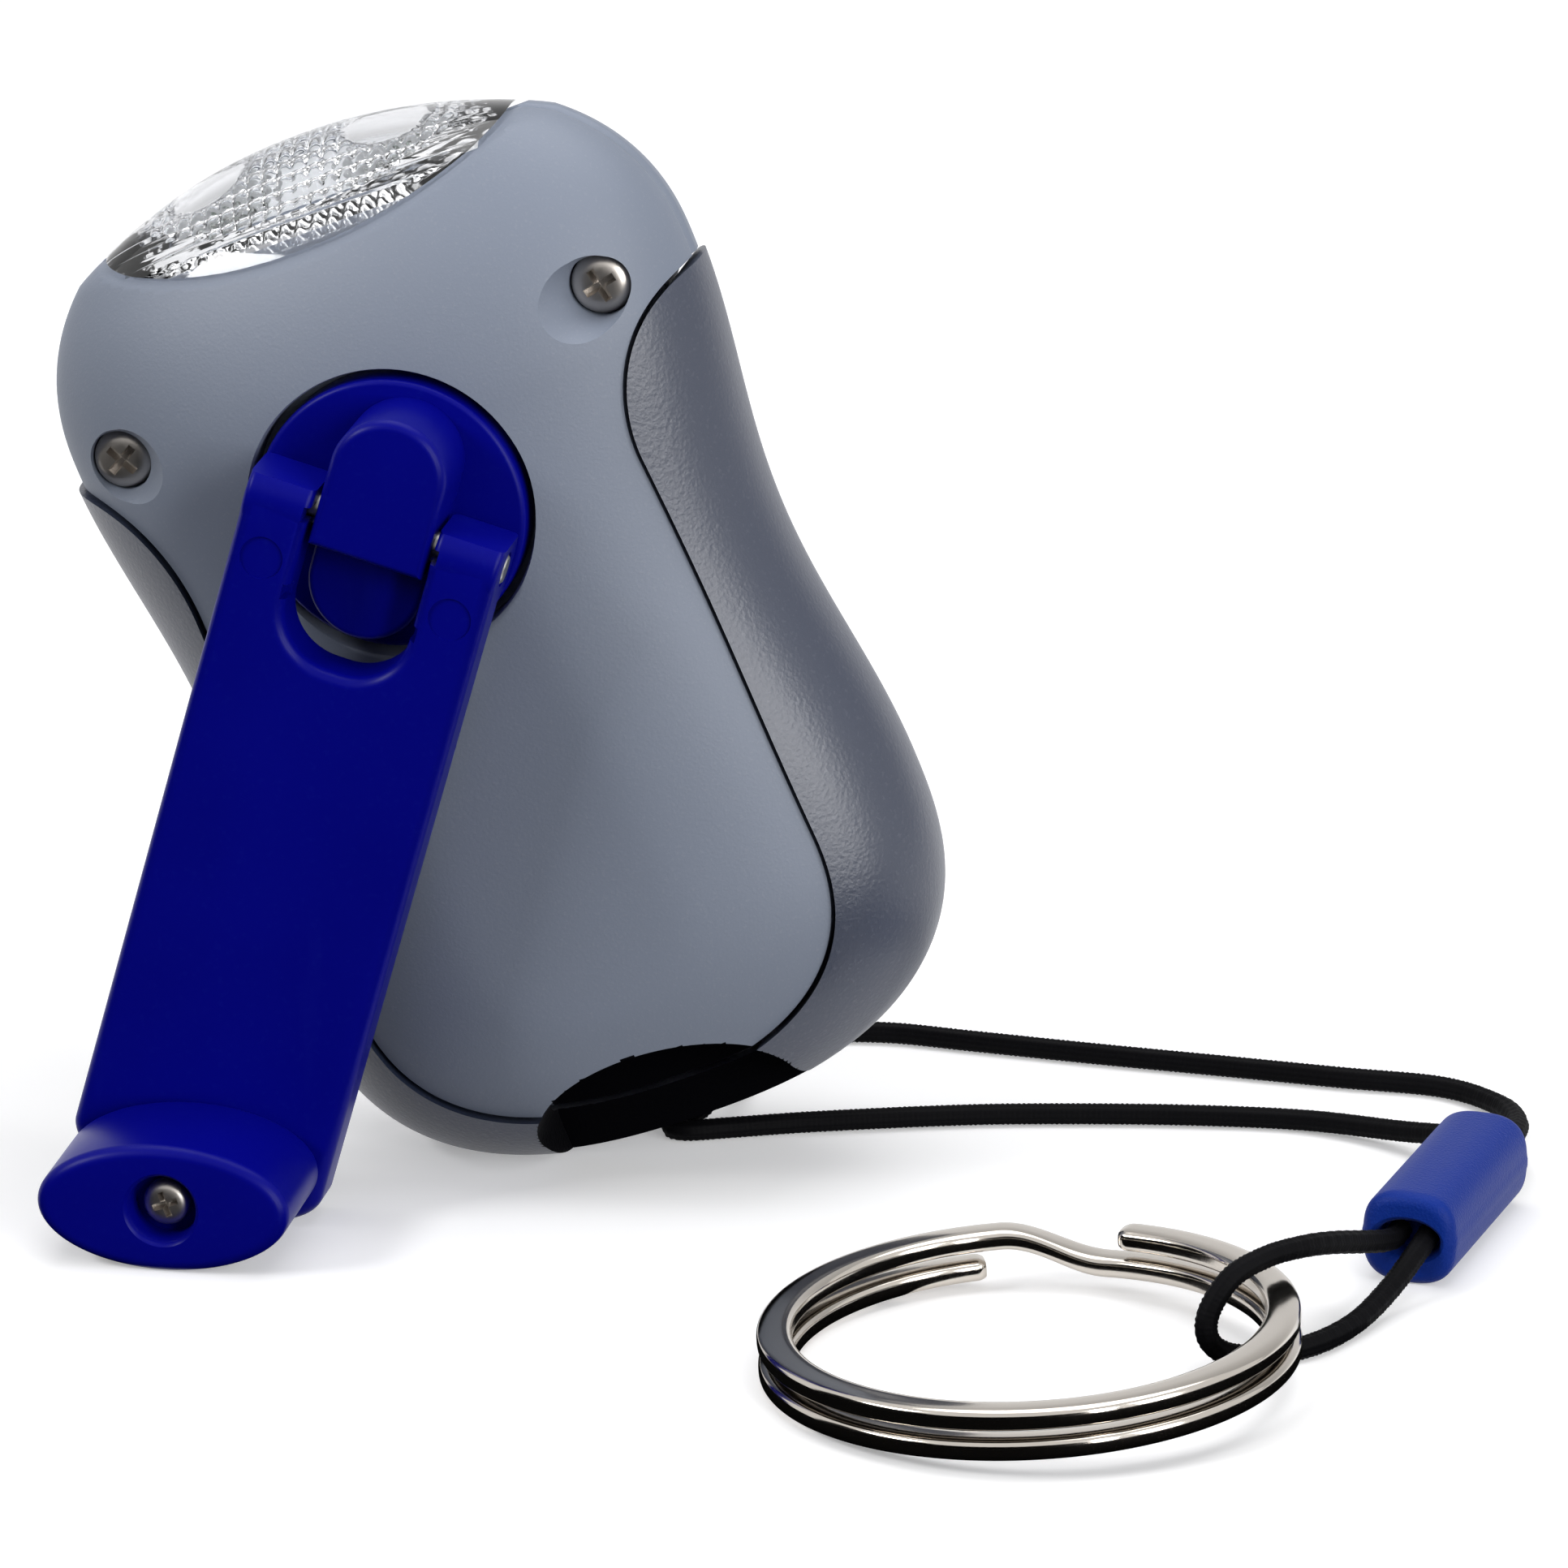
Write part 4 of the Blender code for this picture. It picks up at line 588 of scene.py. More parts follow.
def bayOutline(spread):
    b = baySizes
    turn = np.linspace(0, math.pi, 48)
    halfX, halfZ = b["halfX"] + spread, b["halfZ"] + spread
    arch = np.stack([halfX * np.cos(turn), b["z"] + halfZ * np.sin(turn)], axis=1)
    return np.concatenate([arch, [[-halfX, -60], [halfX, -60]]])


seatSizes = {"half": 14, "top": 17.8, "sag": 2.7, "sagHalf": 7.6}


# The curved joint under the lens, as a solid above it, worked in Y and Z and carried along X
def seatTool(name, lift, place):
    half = seatSizes["half"]
    y = np.linspace(-half, half, 57)
    z = seatSizes["top"] + lift - seatSizes["sag"] * (y / seatSizes["sagHalf"]) ** 2
    rim = np.stack([np.concatenate([y, [half, -half]]), np.concatenate([z, [60, 60]])], axis=1)
    spots = np.stack([np.insert(rim, 0, x, axis=1) for x in (-30.0, 30.0)])
    index, _, faces = ringQuads(2, len(rim))
    faces += [index[0][::-1].tolist(), index[1].tolist()]
    return newPiece(name, spots.reshape(-1, 3), faces, place)


def padTool(name, outline, rear, front, place):
    return padPiece(name, outline, [(0, rear), (0, front)], place)


# Dished round pocket: straight wall with a flared lip, as rows of (radius, y) carried round its axis
def roundTool(name, rows, x, z, place, count=72):
    turn = aroundTurn(count)
    radius, y = np.hsplit(np.array(rows, float), 2)
    return tubePiece(name, pointGrid(x + radius * np.cos(turn), y, z + radius * np.sin(turn)), place)


# A bar along X about y and z, through rows of (x, radius)
def barPiece(name, rows, y, z, place, count):
    turn = aroundTurn(count)
    x, radius = np.hsplit(np.array(rows, float), 2)
    return tubePiece(name, pointGrid(x, y + radius * np.cos(turn), z + radius * np.sin(turn)), place)


# A plain round bar of the given half length, its edges bevelled
def barTool(name, radius, half, y, z, place, edge=0.0):
    rows = [(-half, radius - edge), (-half + edge, radius), (half - edge, radius), (half, radius - edge)]
    return barPiece(name, rows if edge else [rows[0], rows[-1]], y, z, place, 48)


shellSizes = {
    "screwX": 15.3, "screwZ": 7.4, "screwTop": -5.8, "screwLedge": -4.2, "screwHole": 1.2,
    "dish": ((4.6, -12.0), (3.5, -9.4), (2.75, -8.2), (2.2, -7.3), (1.98, -6.7), (1.86, -6.3)),
    "recessRadius": 8.4, "lip": ((1.2, -12.0), (1.2, -11.8), (0.35, -10.75), (0.12, -10.6), (0, -10.3)),
    "hubBack": -8.1, "hubBore": 1.95, "lightHalf": 11.3, "lightDepth": 4.2, "lightFloor": 7.3,
    "buttonZ": 3.0, "buttonHole": ((3.5, 0), (3.5, 10.45), (3.75, 10.8), (3.75, 14)),
    "slotLow": (-3.4, 1.8, -60), "slotHigh": (3.4, 7.2, -33.8), "barY": 4.5, "barZ": -36.5,
}


def shellBlank(name):
    item = formPiece(name, 0, onTorch, 320, seam=form["seam"])
    carve(item, padTool(name + "Panel", panelOutline(0), -60, 60, onTorch), "INTERSECT")
    carve(item, corePiece(name + "Core"), "UNION")
    carve(item, seatTool(name + "Seat", 0, onTorch))
    return carve(item, formPiece(name + "Hollow", 3.9, onTorch, 80, 14, 20, 16))


def lightBay(item):
    s = shellSizes
    low = (-s["lightHalf"], -s["lightDepth"], s["lightFloor"])
    return carve(item, blockPiece(item.name + "Light", low, (s["lightHalf"], s["lightDepth"], 60), onTorch))


def bayTool(name):
    return padTool(name, bayOutline(baySizes["gap"]), -60, baySizes["floor"], onTorch)


def slotTool(name):
    return blockPiece(name, shellSizes["slotLow"], shellSizes["slotHigh"], onTorch)


# Marks the knob bay's own faces for painted shade, which blackens them: a face attribute of 0 or 1
def markPaintedBayShade(item):
    mesh = item.data
    middles = np.empty(len(mesh.polygons) * 3)
    mesh.polygons.foreach_get("center", middles)
    x, y, z = np.moveaxis(turnY((middles.reshape(-1, 3) - crankPoint) / mm, roll), -1, 0)
    b = baySizes
    halfX, halfZ = b["halfX"] + b["gap"] + 0.05, b["halfZ"] + b["gap"] + 0.05
    inside = (np.abs(x) < halfX) & (z < b["z"] + halfZ * superOval(x / halfX, 2))
    marks = (inside & (y > -10.2) & (y < b["floor"] + 0.1)).astype(np.float32)
    mesh.attributes.new("recess", "FLOAT", "FACE").data.foreach_set("value", marks)


def makeRearShell():
    s = shellSizes
    item = shellBlank("rearShell")
    carve(item, blockPiece("rearSpace", (-60, -gap / 2, -80), (60, 60, 80), onTorch))
    boss = padTool("bayBoss", bayOutline(2.1), -10.7, -gap / 2, onTorch)
    carve(boss, corePiece("bossLimit"), "INTERSECT")
    carve(item, boss, "UNION")
    lightBay(item)
    carve(item, bayTool("knobBay"))
    radius = s["recessRadius"]
    recess = [(radius + grow, y) for grow, y in s["lip"]] + [(radius, s["hubBack"] + gap)]
    carve(item, roundTool("hubRecess", recess, 0, 0, onTorch, 96))
    carve(item, roundTool("hubBore", [(s["hubBore"], -30), (s["hubBore"], 0)], 0, 0, onTorch))
    for side, x in (("Left", -s["screwX"]), ("Right", s["screwX"])):
        dish = [*s["dish"], (s["dish"][-1][0], s["screwLedge"])]
        carve(item, roundTool("screwDish" + side, dish, x, s["screwZ"], onTorch))
        hole = [(s["screwHole"], -20), (s["screwHole"], 0)]
        carve(item, roundTool("screwHole" + side, hole, x, s["screwZ"], onTorch))
    markPaintedBayShade(settle(item, 35))
    return dress(item, "housing", shellMaterial, "shell_grey", "rear_shell")


def makeFrontShell():
    s = shellSizes
    item = shellBlank("frontShell")
    carve(item, blockPiece("frontSpace", (-60, -60, -80), (60, gap / 2, 80), onTorch))
    lightBay(item)
    boss = blockPiece("barBoss", (-6.2, gap / 2, -41), (6.2, 9, -32.2), onTorch)
    carve(boss, corePiece("barBossLimit"), "INTERSECT")
    carve(item, boss, "UNION")
    carve(item, slotTool("cordSlot"))
    carve(item, barTool("barBore", 0.95, 4.9, s["barY"], s["barZ"], onTorch))
    carve(item, roundTool("buttonHole", s["buttonHole"], 0, s["buttonZ"], onTorch))
    return dress(settle(item, 35), "housing", shellMaterial, "shell_grey", "front_shell")


def makeGripBand():
    item = formPiece("gripBand", -0.4, onTorch, 240, 54, 90, 50)
    carve(item, padTool("gripWindow", panelOutline(gap), -60, 60, onTorch))
    carve(item, corePiece("gripCore", 2.0))
    carve(item, bayTool("gripBay"))
    carve(item, slotTool("gripSlot"))
    markPaintedBayShade(settle(item, 35))
    return dress(item, "housing", gripMaterial, "grip_slate", "grip_band")


makeRearShell()
makeFrontShell()
makeGripBand()
print("housing ready")


# Lens: a clear cap, smooth outside, its hollow covered in small pillows but for a clear oval over each lamp
lensLook = {
    "wall": 1.4, "pitch": 0.95, "height": 0.42, "power": 0.6, "columns": 420,
    "lampX": 5.5, "clearX": 2.5, "clearY": 2.1, "rim": 0.25,
}


def makeLens():
    look = lensLook
    item = formPiece("lensCap", 0, onTorch, 260, 20, 20, 90)
    carve(item, seatTool("lensSeat", gap, onTorch), "INTERSECT")
    levels = formLevels(look["wall"], 6, 14, 150)[:, None]
    smooth = formPoints(levels, aroundTurn(look["columns"], 0.5), look["wall"])
    x, y, z = np.moveaxis(smooth, -1, 0)
    # Pillow height: the product of two squared-off waves, along X and along the run over the top in Y and Z
    run = np.where(z > 8, np.sign(y) * (19.3 - z) * 0.9 + y * 0.55, 0)
    across, along = (np.abs(np.sin(np.pi * way / look["pitch"])) ** look["power"] for way in (x, run))
    apart = np.minimum(np.abs(x - look["lampX"]), np.abs(x + look["lampX"]))
    clear = (apart / look["clearX"]) ** 2 + (y / look["clearY"]) ** 2
    lift = look["height"] * across * along * np.clip((clear - 1) / look["rim"], 0, 1)
    ahead = unit(smooth - np.stack([x * 0.75, y * 0, np.minimum(z, 12.0)], axis=-1))
    carve(item, tubePiece("lensHollow", smooth + ahead * lift[..., None], onTorch, 180))
    settle(item, 40)
    return dress(item, "housing", lensMaterial, "clear_lens", "lens")


# Reflector: a white block whose two cups flare towards the lens through rows of (radius, z)
reflectorSizes = {
    "low": (-11.0, -3.9, 10.2), "high": (11.0, 3.9, 16.7),
    "cup": (
        (2.8, 9.0), (2.8, 12.0), (2.9, 12.15), (3.25, 13.2),
        (3.5, 14.6), (3.64, 15.8), (3.7, 16.7), (3.74, 17.5),
    ),
}


def makeReflector():
    item = blockPiece("reflectorBlock", reflectorSizes["low"], reflectorSizes["high"], onTorch)
    turn = aroundTurn(64)
    radius, z = np.hsplit(np.array(reflectorSizes["cup"]), 2)
    for side, x in (("Left", -lensLook["lampX"]), ("Right", lensLook["lampX"])):
        grid = pointGrid(x + radius * np.cos(turn), radius * np.sin(turn), z)
        carve(item, tubePiece("cup" + side, grid, onTorch))
    return dress(settle(item, 30), "housing", whiteMaterial, "white_plastic", "reflector")


# Crank hub: disc, hinge block in two heights, shaft, pin bore
crankSizes = {
    "discRadius": 7.9, "face": -10.8, "back": -8.1, "blockHalf": 3.4, "blockLength": 7.1,
    "blockHigh": -16.1, "blockLow": -13.0, "blockFoot": -9.5, "shaft": 1.8, "pinY": -13.7, "pinRadius": 0.9,
    "pinHalf": 7.65, "pinBore": 1.05, "armHalf": 7.6, "armFace": -16.3, "armBack": -12.7, "armTip": 1.6,
    "slotEnd": -8.3, "slotHalf": 3.7, "slotCorner": 3.3, "radius": 39.4, "endDrop": 3.3, "knuckle": 2.6,
    "knuckleEdge": 0.4, "screwWell": 0.8,
}


# Outline with one round end, from a straight foot at z low
def roundEnd(half, straight, low, sign):
    turn = np.linspace(0, math.pi, 40)
    arch = np.stack([half * np.cos(turn), sign * (straight + half * np.sin(turn))], axis=1)
    return np.concatenate([arch, [[-half, low], [half, low]]])


def makeHub():
    c = crankSizes
    rows = roundedRows(c["face"], c["back"], 0.35, 0.1)
    item = padPiece("crankHub", circleOutline(c["discRadius"], 0, 0, 128), rows, onArm)
    straight = c["blockLength"] - c["blockHalf"]
    for name, low, sign, edge in (("blockHigh", -1.5, 1, 0.6), ("blockLow", 0.0, -1, 0.45)):
        rows = roundedRows(c[name], c["blockFoot"], edge, 0.01, 7)
        carve(item, padPiece(name, roundEnd(c["blockHalf"], straight, low, sign), rows, onArm), "UNION")
    shaft = padPiece("hubShaft", circleOutline(c["shaft"], 0, 0, 48), [(0, -9.0), (0, -2.0)], onArm)
    carve(item, shaft, "UNION")
    carve(item, barTool("hubBore", c["pinBore"], 6.8, c["pinY"], 0, onArm))
    return dress(settle(item, 30), "crank", crankMaterial, "crank_blue", "crank_hub")


# Fork arm: rounded plate, knuckles on its tips, notches beside the slot, ejector marks, wells
armMarks = {
    "ejectorX": 5.65, "ejectorZ": -3.0, "ejectorRadius": 1.25, "sink": 0.12,
    "notchZ": (0.2, -4.6), "notchDepth": 0.35, "notchHalf": 0.45, "notchFloor": -14.6,
}


def armOutline():
    c = crankSizes
    turn = np.linspace(0, math.pi, 90)
    end = np.stack([c["armHalf"] * np.cos(turn), -c["radius"] - c["endDrop"] * np.sin(turn)], axis=1)
    bend = np.linspace(0, math.pi / 2, 24)
    corner = c["slotCorner"]
    leftX, leftZ = corner * (1 - np.cos(bend)) - c["slotHalf"], corner * (1 - np.sin(bend)) + c["slotEnd"]
    left = np.stack([leftX, leftZ], axis=1)
    right = left[::-1] * [-1, 1]
    side = np.array([[-c["armHalf"], 0.0], [-c["slotHalf"], 0.0]])
    return np.concatenate([[[c["armHalf"], 0.0]], end, side, left, right, [[c["slotHalf"], 0.0]]])


def knucklePiece(name, middle, half):
    c = crankSizes
    edge = c["knuckleEdge"]
    bend = np.linspace(math.pi / 2, 0, 6)
    rows = [(-half + edge * (1 - math.sin(a)), c["knuckle"] - edge * (1 - math.cos(a))) for a in bend]
    rows += [(-x, radius) for x, radius in rows[::-1]]
    item = barPiece(name, [(x + middle, radius) for x, radius in rows], c["pinY"], 0, onArm, 96)
    return carve(item, blockPiece(name + "Tip", (-20, -30, c["armTip"]), (20, 0, 20), onArm))


def makeArm():
    c = crankSizes
    rows = roundedRows(c["armFace"], c["armBack"], 0.75, 0.5, 8)
    item = padPiece("crankArm", armOutline(), rows, onArm, 30)
    half = (c["armHalf"] - c["slotHalf"]) / 2
    for side, middle in (("Left", -c["slotHalf"] - half), ("Right", c["slotHalf"] + half)):
        carve(item, knucklePiece("knuckle" + side, middle, half), "UNION")
    m = armMarks
    for side, sign in (("Left", -1), ("Right", 1)):
        ring = [(m["ejectorRadius"], -30), (m["ejectorRadius"], c["armFace"] + m["sink"])]
        carve(item, roundTool("ejector" + side, ring, sign * m["ejectorX"], m["ejectorZ"], onArm))
        for spot, z in enumerate(m["notchZ"]):
            inner = sign * (c["slotHalf"] + m["notchDepth"])
            low, high = sorted((inner, sign * (c["slotHalf"] - 0.5)))
            near, far = (low, -30, z - m["notchHalf"]), (high, m["notchFloor"], z + m["notchHalf"])
            carve(item, blockPiece(f"notch{side}{spot}", near, far, onArm))
    carve(item, barTool("pinBore", c["pinBore"], 20, c["pinY"], 0, onArm))
    well = [(c["screwWell"], -30), (c["screwWell"], -13.6)]
    carve(item, roundTool("armScrewWell", well, 0, -c["radius"], onArm))
    return dress(settle(item, 30), "arm", crankMaterial, "crank_blue", "crank_arm")


def makePin():
    c = crankSizes
    item = barTool("hingePin", c["pinRadius"], c["pinHalf"], c["pinY"], 0, onArm, 0.15)
    return dress(item, "arm", steelMaterial, "steel", "hinge_pin")


# Knob: an oval block with rounded rims, its well flared at the lip
knobLook = {
    "halfX": 7.4, "halfZ": 3.8, "end": -24.9, "foot": -16.6, "endEdge": 0.75, "footEdge": 0.6, "well": 1.98,
    "web": -22.6, "hole": 0.8, "lip": ((0.3, -5.1), (0.3, -0.05), (0.1, 0.12), (0, 0.35)),
}


def makeKnob():
    k = knobLook
    rows = roundedRows(k["end"], k["foot"], k["endEdge"], k["footEdge"], 8)
    item = padPiece("knobHandle", ovalOutline(k["halfX"], k["halfZ"], 0, 0, 160), rows, onKnob, 30)
    well = [(k["well"] + grow, k["end"] + y) for grow, y in k["lip"]] + [(k["well"], k["web"])]
    carve(item, roundTool("knobWell", well, 0, 0, onKnob))
    carve(item, roundTool("knobHole", [(k["hole"], -30), (k["hole"], 0)], 0, 0, onKnob))
    return dress(settle(item, 30), "handle", crankMaterial, "crank_blue", "knob")


screwShape = {
    "head": (
        (0.05, 0), (0.45, 0.0), (0.68, 0.05), (0.85, 0.16),
        (0.95, 0.32), (1.0, 0.52), (1.0, 0.97), (0.97, 1.0),
    ),
    "crossReach": 0.56, "crossHalf": 0.13, "crossDepth": 0.5,  # shares of the head's radius and height
}
caseScrew = {
    "headRadius": 1.78, "headHeight": 1.4, "radius": 0.9, "length": 9.0,
    "turned": {"left": 0.5, "right": 0.2},
}
knobScrew = {"headRadius": 1.35, "headHeight": 1.0, "radius": 0.65, "depthInArm": 2.4, "turned": 0.35}


# Cross-head screw along Y, head to the rear: a turned profile and a cross that narrows as it sinks
def screwPiece(name, x, z, top, sizes, length, turned, place):
    headRadius, headHeight, foot = sizes["headRadius"], sizes["headHeight"], top + sizes["headHeight"]
    rows = [(headRadius * r, top + headHeight * y) for r, y in screwShape["head"]]
    rows += [(sizes["radius"], foot), (sizes["radius"], foot + length)]
    item = roundTool(name, rows, x, z, place, 64)
    reach, half = headRadius * screwShape["crossReach"], headRadius * screwShape["crossHalf"]
    for spot in range(2):
        angle = turned + spot * math.pi / 2
        across, up = np.array([(-reach, -half), (reach, -half), (reach, half), (-reach, half)]).T
        c, s = math.cos(angle), math.sin(angle)
        slot = np.stack([x + across * c - up * s, z + across * s + up * c], axis=1)
        depth = headHeight * (screwShape["crossDepth"] + 0.02 * spot)
        rows = [(-0.12, top - 0.5), (0.0, top + 0.1), (0.1, top + depth)]
        carve(item, padPiece(f"{name}Slot{spot}", slot, rows, place))
    return settle(item, 35)


def makeScrews():
    s = shellSizes
    for side, x in (("left", -s["screwX"]), ("right", s["screwX"])):
        name, top = "caseScrew" + side.title(), s["screwTop"] - 0.1
        turned, length = caseScrew["turned"][side], caseScrew["length"]
        item = screwPiece(name, x, s["screwZ"], top, caseScrew, length, turned, onTorch)
        dress(item, "housing", screwMaterial, "steel", f"case_screw_{side}")
    under = knobLook["web"] - gap
    length = crankSizes["armFace"] + knobScrew["depthInArm"] - under
    top, turned = under - knobScrew["headHeight"], knobScrew["turned"]
    item = screwPiece("knobScrew", 0, 0, top, knobScrew, length, turned, onKnob)
    dress(item, "arm", screwMaterial, "steel", "knob_screw")


# Push-button: flange, stem and a slightly dished cap, as rows of (radius, y)
buttonRows = (
    (3.9, 8.6), (3.9, 9.2), (3.2, 9.2), (3.2, 11.0), (3.12, 11.18), (2.95, 11.3), (1.6, 11.15), (0.1, 11.1),
)


def makeButton():
    item = roundTool("pushButton", buttonRows, 0, shellSizes["buttonZ"], onTorch, 96)
    return dress(item, "button", crankMaterial, "crank_blue", "push_button")


def makeBar():
    item = barTool("lanyardBar", 0.8, 4.6, shellSizes["barY"], shellSizes["barZ"], onTorch, 0.12)
    return dress(item, "housing", steelMaterial, "steel", "lanyard_bar")


makeLens()
makeReflector()
makeHub()
makeArm()
makePin()
makeKnob()
makeScrews()
makeButton()
makeBar()
print("lens and crank ready")


# Cords. A route's own points, joined by a smooth curve that passes through every one of them
def smoothRoute(points, spacing):
    points = np.array(points, float)
    padded = np.concatenate([[2 * points[0] - points[1]], points, [2 * points[-1] - points[-2]]])
    spots = []
    for before, start, end, after in zip(padded, padded[1:], padded[2:], padded[3:]):
        t = np.arange(max(1, round(np.linalg.norm(end - start) / spacing)))[:, None]
        t = t / max(1, len(t))
        square = (2 * before - 5 * start + 4 * end - after) * t**2
        cube = (3 * start - before - 3 * end + after) * t**3
        spots.append(0.5 * (2 * start + (end - before) * t + square + cube))
    return np.concatenate(spots + [points[-1:]])


# Even spacing along a run of points, by its own length
def evenRun(spots, spacing):
    length = np.concatenate([[0], np.cumsum(np.linalg.norm(np.diff(spots, axis=0), axis=1))])
    at = np.linspace(0, length[-1], max(2, round(length[-1] / spacing)) + 1)
    return np.stack([np.interp(at, length, spots[:, axis]) for axis in range(3)], axis=1), length[-1]


# Side and up directions along a run: each carried on from the last and squared to the run's heading
def runFrames(spots):
    heading = unit(np.gradient(spots, axis=0))
    side = np.zeros_like(heading)
    current = np.cross(heading[0], [0, 0, 1.0])
    for step, ahead in enumerate(heading):
        current = unit(current - ahead * np.dot(current, ahead))
        side[step] = current
    return side, np.cross(heading, side)


cordLook = {
    "radius": 0.62, "strands": 8, "lay": 2.6, "weave": 0.07, "spacing": 0.14, "sides": 32,
    "dark": (0.001, 0.001, 0.0015), "light": (0.004, 0.004, 0.005), "rough": (0.5, 0.7), "specular": 0.06,
}
lanyardRoute = (
    (62.8, -0.9, 2.75), (63.2, 1.6, 2.75), (63.6, 5.5, 2.3), (63.2, 10.5, 1.4), (61.6, 14.8, 0.8),
    (58.0, 17.6, 0.65), (51.7, 18.2, 0.65), (44.2, 19.0, 0.65), (36.3, 19.8, 0.65), (28.9, 20.7, 0.65),
    (23.4, 21.3, 0.65), (19.0, 20.2, 0.65), (16.7, 16.4, 0.65), (16.3, 12.0, 0.8), (16.5, 8.6, 1.6),
    (16.0, 6.5, 3.2), (14.8, 6.25, 6.1), (14.03, 6.25, 8.0), (13.52, 5.74, 9.15), (13.35, 4.5, 9.63),
    (13.52, 3.26, 9.15), (14.03, 2.75, 8.0), (14.9, 2.75, 5.9), (15.9, 2.8, 3.3), (15.5, 3.2, 1.9),
    (14.2, 3.4, 0.9), (13.6, 2.6, 0.65), (14.6, 2.0, 0.65), (17.2, 3.0, 0.65), (21.7, 4.8, 0.65),
    (28.7, 7.1, 0.65), (34.3, 8.5, 0.65), (43.0, 9.9, 0.65), (50.5, 10.2, 0.7), (56.5, 8.0, 1.2),
    (60.2, 4.9, 2.2), (61.5, 1.9, 2.75), (61.12, -0.6, 2.75),
)
loopRoute = (
    (58.9, -12.4, 2.75), (58.5, -14.6, 2.9), (57.4, -17.8, 3.9), (56.0, -21.4, 5.1), (54.6, -24.2, 5.8),
    (52.9, -26.4, 5.9), (51.2, -28.1, 5.2), (50.1, -29.1, 3.4), (50.2, -29.4, 1.9), (51.4, -28.8, 0.9),
    (53.5, -27.6, 0.65), (55.8, -25.5, 0.65), (57.6, -22.1, 0.75), (59.0, -18.4, 1.4), (60.2, -15.0, 2.5),
    (60.6, -12.7, 2.75),
)


# Braid: strands wound both ways lift the surface where they cross on top, by a product of two helical waves
def cordPiece(name, route):
    look = cordLook
    spots, length = evenRun(smoothRoute(route, 0.3), look["spacing"])
    side, up = runFrames(spots)
    turn = aroundTurn(look["sides"], 0.5)
    along = (np.arange(len(spots)) * look["spacing"])[:, None] * 2 * math.pi / look["lay"]
    half = look["strands"] / 2
    weave = np.cos(half * (turn + along)) * np.cos(half * (turn - along))
    radius = look["radius"] + look["weave"] * weave
    around = side[:, None, :] * np.cos(turn)[:, None] + up[:, None, :] * np.sin(turn)[:, None]
    return tubePiece(name, spots[:, None, :] + radius[..., None] * around, onTable, 60), spots, length


def cordMaterial():
    material, tree, shader = newMaterial("blackBraid")
    where = tree.nodes.new("ShaderNodeTexCoord").outputs["Object"]
    fibre = addNoise(tree, where, 6000, 3.0, 0.7)
    tree.links.new(addMix(tree, fibre, cordLook["dark"], cordLook["light"]), shader.inputs["Base Color"])
    tree.links.new(addRange(tree, fibre, *cordLook["rough"]), shader.inputs["Roughness"])
    tree.links.new(addBump(tree, fibre, 0.5, 0.03 * mm), shader.inputs["Normal"])
    shader.inputs["Specular IOR Level"].default_value = cordLook["specular"]
    return material


def makeCords():
    braid = cordMaterial()
    cords = (("cordLanyard", "lanyard_cord", lanyardRoute), ("cordLoop", "cord_loop", loopRoute))
    for name, node, route in cords:
        item, spots, length = cordPiece(name, route)
        dress(item, "housing", braid, "cord_black", node)
        print(name, "length", round(float(length), 1), "mm")


# Bead: an oval tube with soft ends, a mould line proud round its length, and an oval pocket at each end
beadSizes = {
    "halfX": 2.85, "halfZ": 2.75, "length": 15.4, "power": 2.8, "edge": 0.75, "holeX": 1.9, "holeZ": 1.1,
    "pocket": 2.0, "line": 0.07, "lineWidth": 0.05,
}


def makeBead():
    b = beadSizes
    turn = aroundTurn(128, 0.5)
    half = b["length"] / 2
    bend = np.linspace(0, math.pi / 2, 10)
    rows = [(b["edge"] * (1 - math.sin(a)), -half + b["edge"] * (1 - math.cos(a))) for a in bend]
    body = [(0.0, y) for y in np.linspace(-half + b["edge"], half - b["edge"], 40)[1:-1]]
    rows = np.array(rows + body + [(inset, -y) for inset, y in rows[::-1]])
    inset, y = rows[:, :1], rows[:, 1:]
    line = b["line"] * np.exp(-((np.sin(turn) / b["lineWidth"]) ** 2))
    x = (b["halfX"] - inset + line - b["line"]) * signedPower(np.cos(turn), 2 / b["power"])
    z = (b["halfZ"] - inset) * signedPower(np.sin(turn), 2 / b["power"])
    item = tubePiece("beadSlider", pointGrid(x, y, z), onBead, 30)
    for side, sign in (("Near", -1), ("Far", 1)):
        depth = np.array([half + 1, half, half - 0.12, half - 0.4, half - b["pocket"]]) * sign
        grow = np.array([0.3, 0.3, 0.14, 0.0, 0.0])[:, None]
        ring = [(b["holeX"] + grow) * np.cos(turn), depth[:, None], (b["holeZ"] + grow) * np.sin(turn)]
        carve(item, tubePiece("beadHole" + side, pointGrid(*ring), onBead))
    return dress(settle(item, 30), "housing", beadMaterial, "slider_blue", "cord_slider")


# Key ring: one wire carried twice round, kinking up by its height and a gap, its ends chamfered
ringLook = {
    "radius": 15.1, "width": 2.0, "height": 1.3, "squareness": 0.62, "turnGap": 0.42,
    "kink": math.radians(93.0), "span": math.radians(25.0), "endGap": math.radians(4.0), "endRun": 0.5,
    "endThin": 0.22,
}


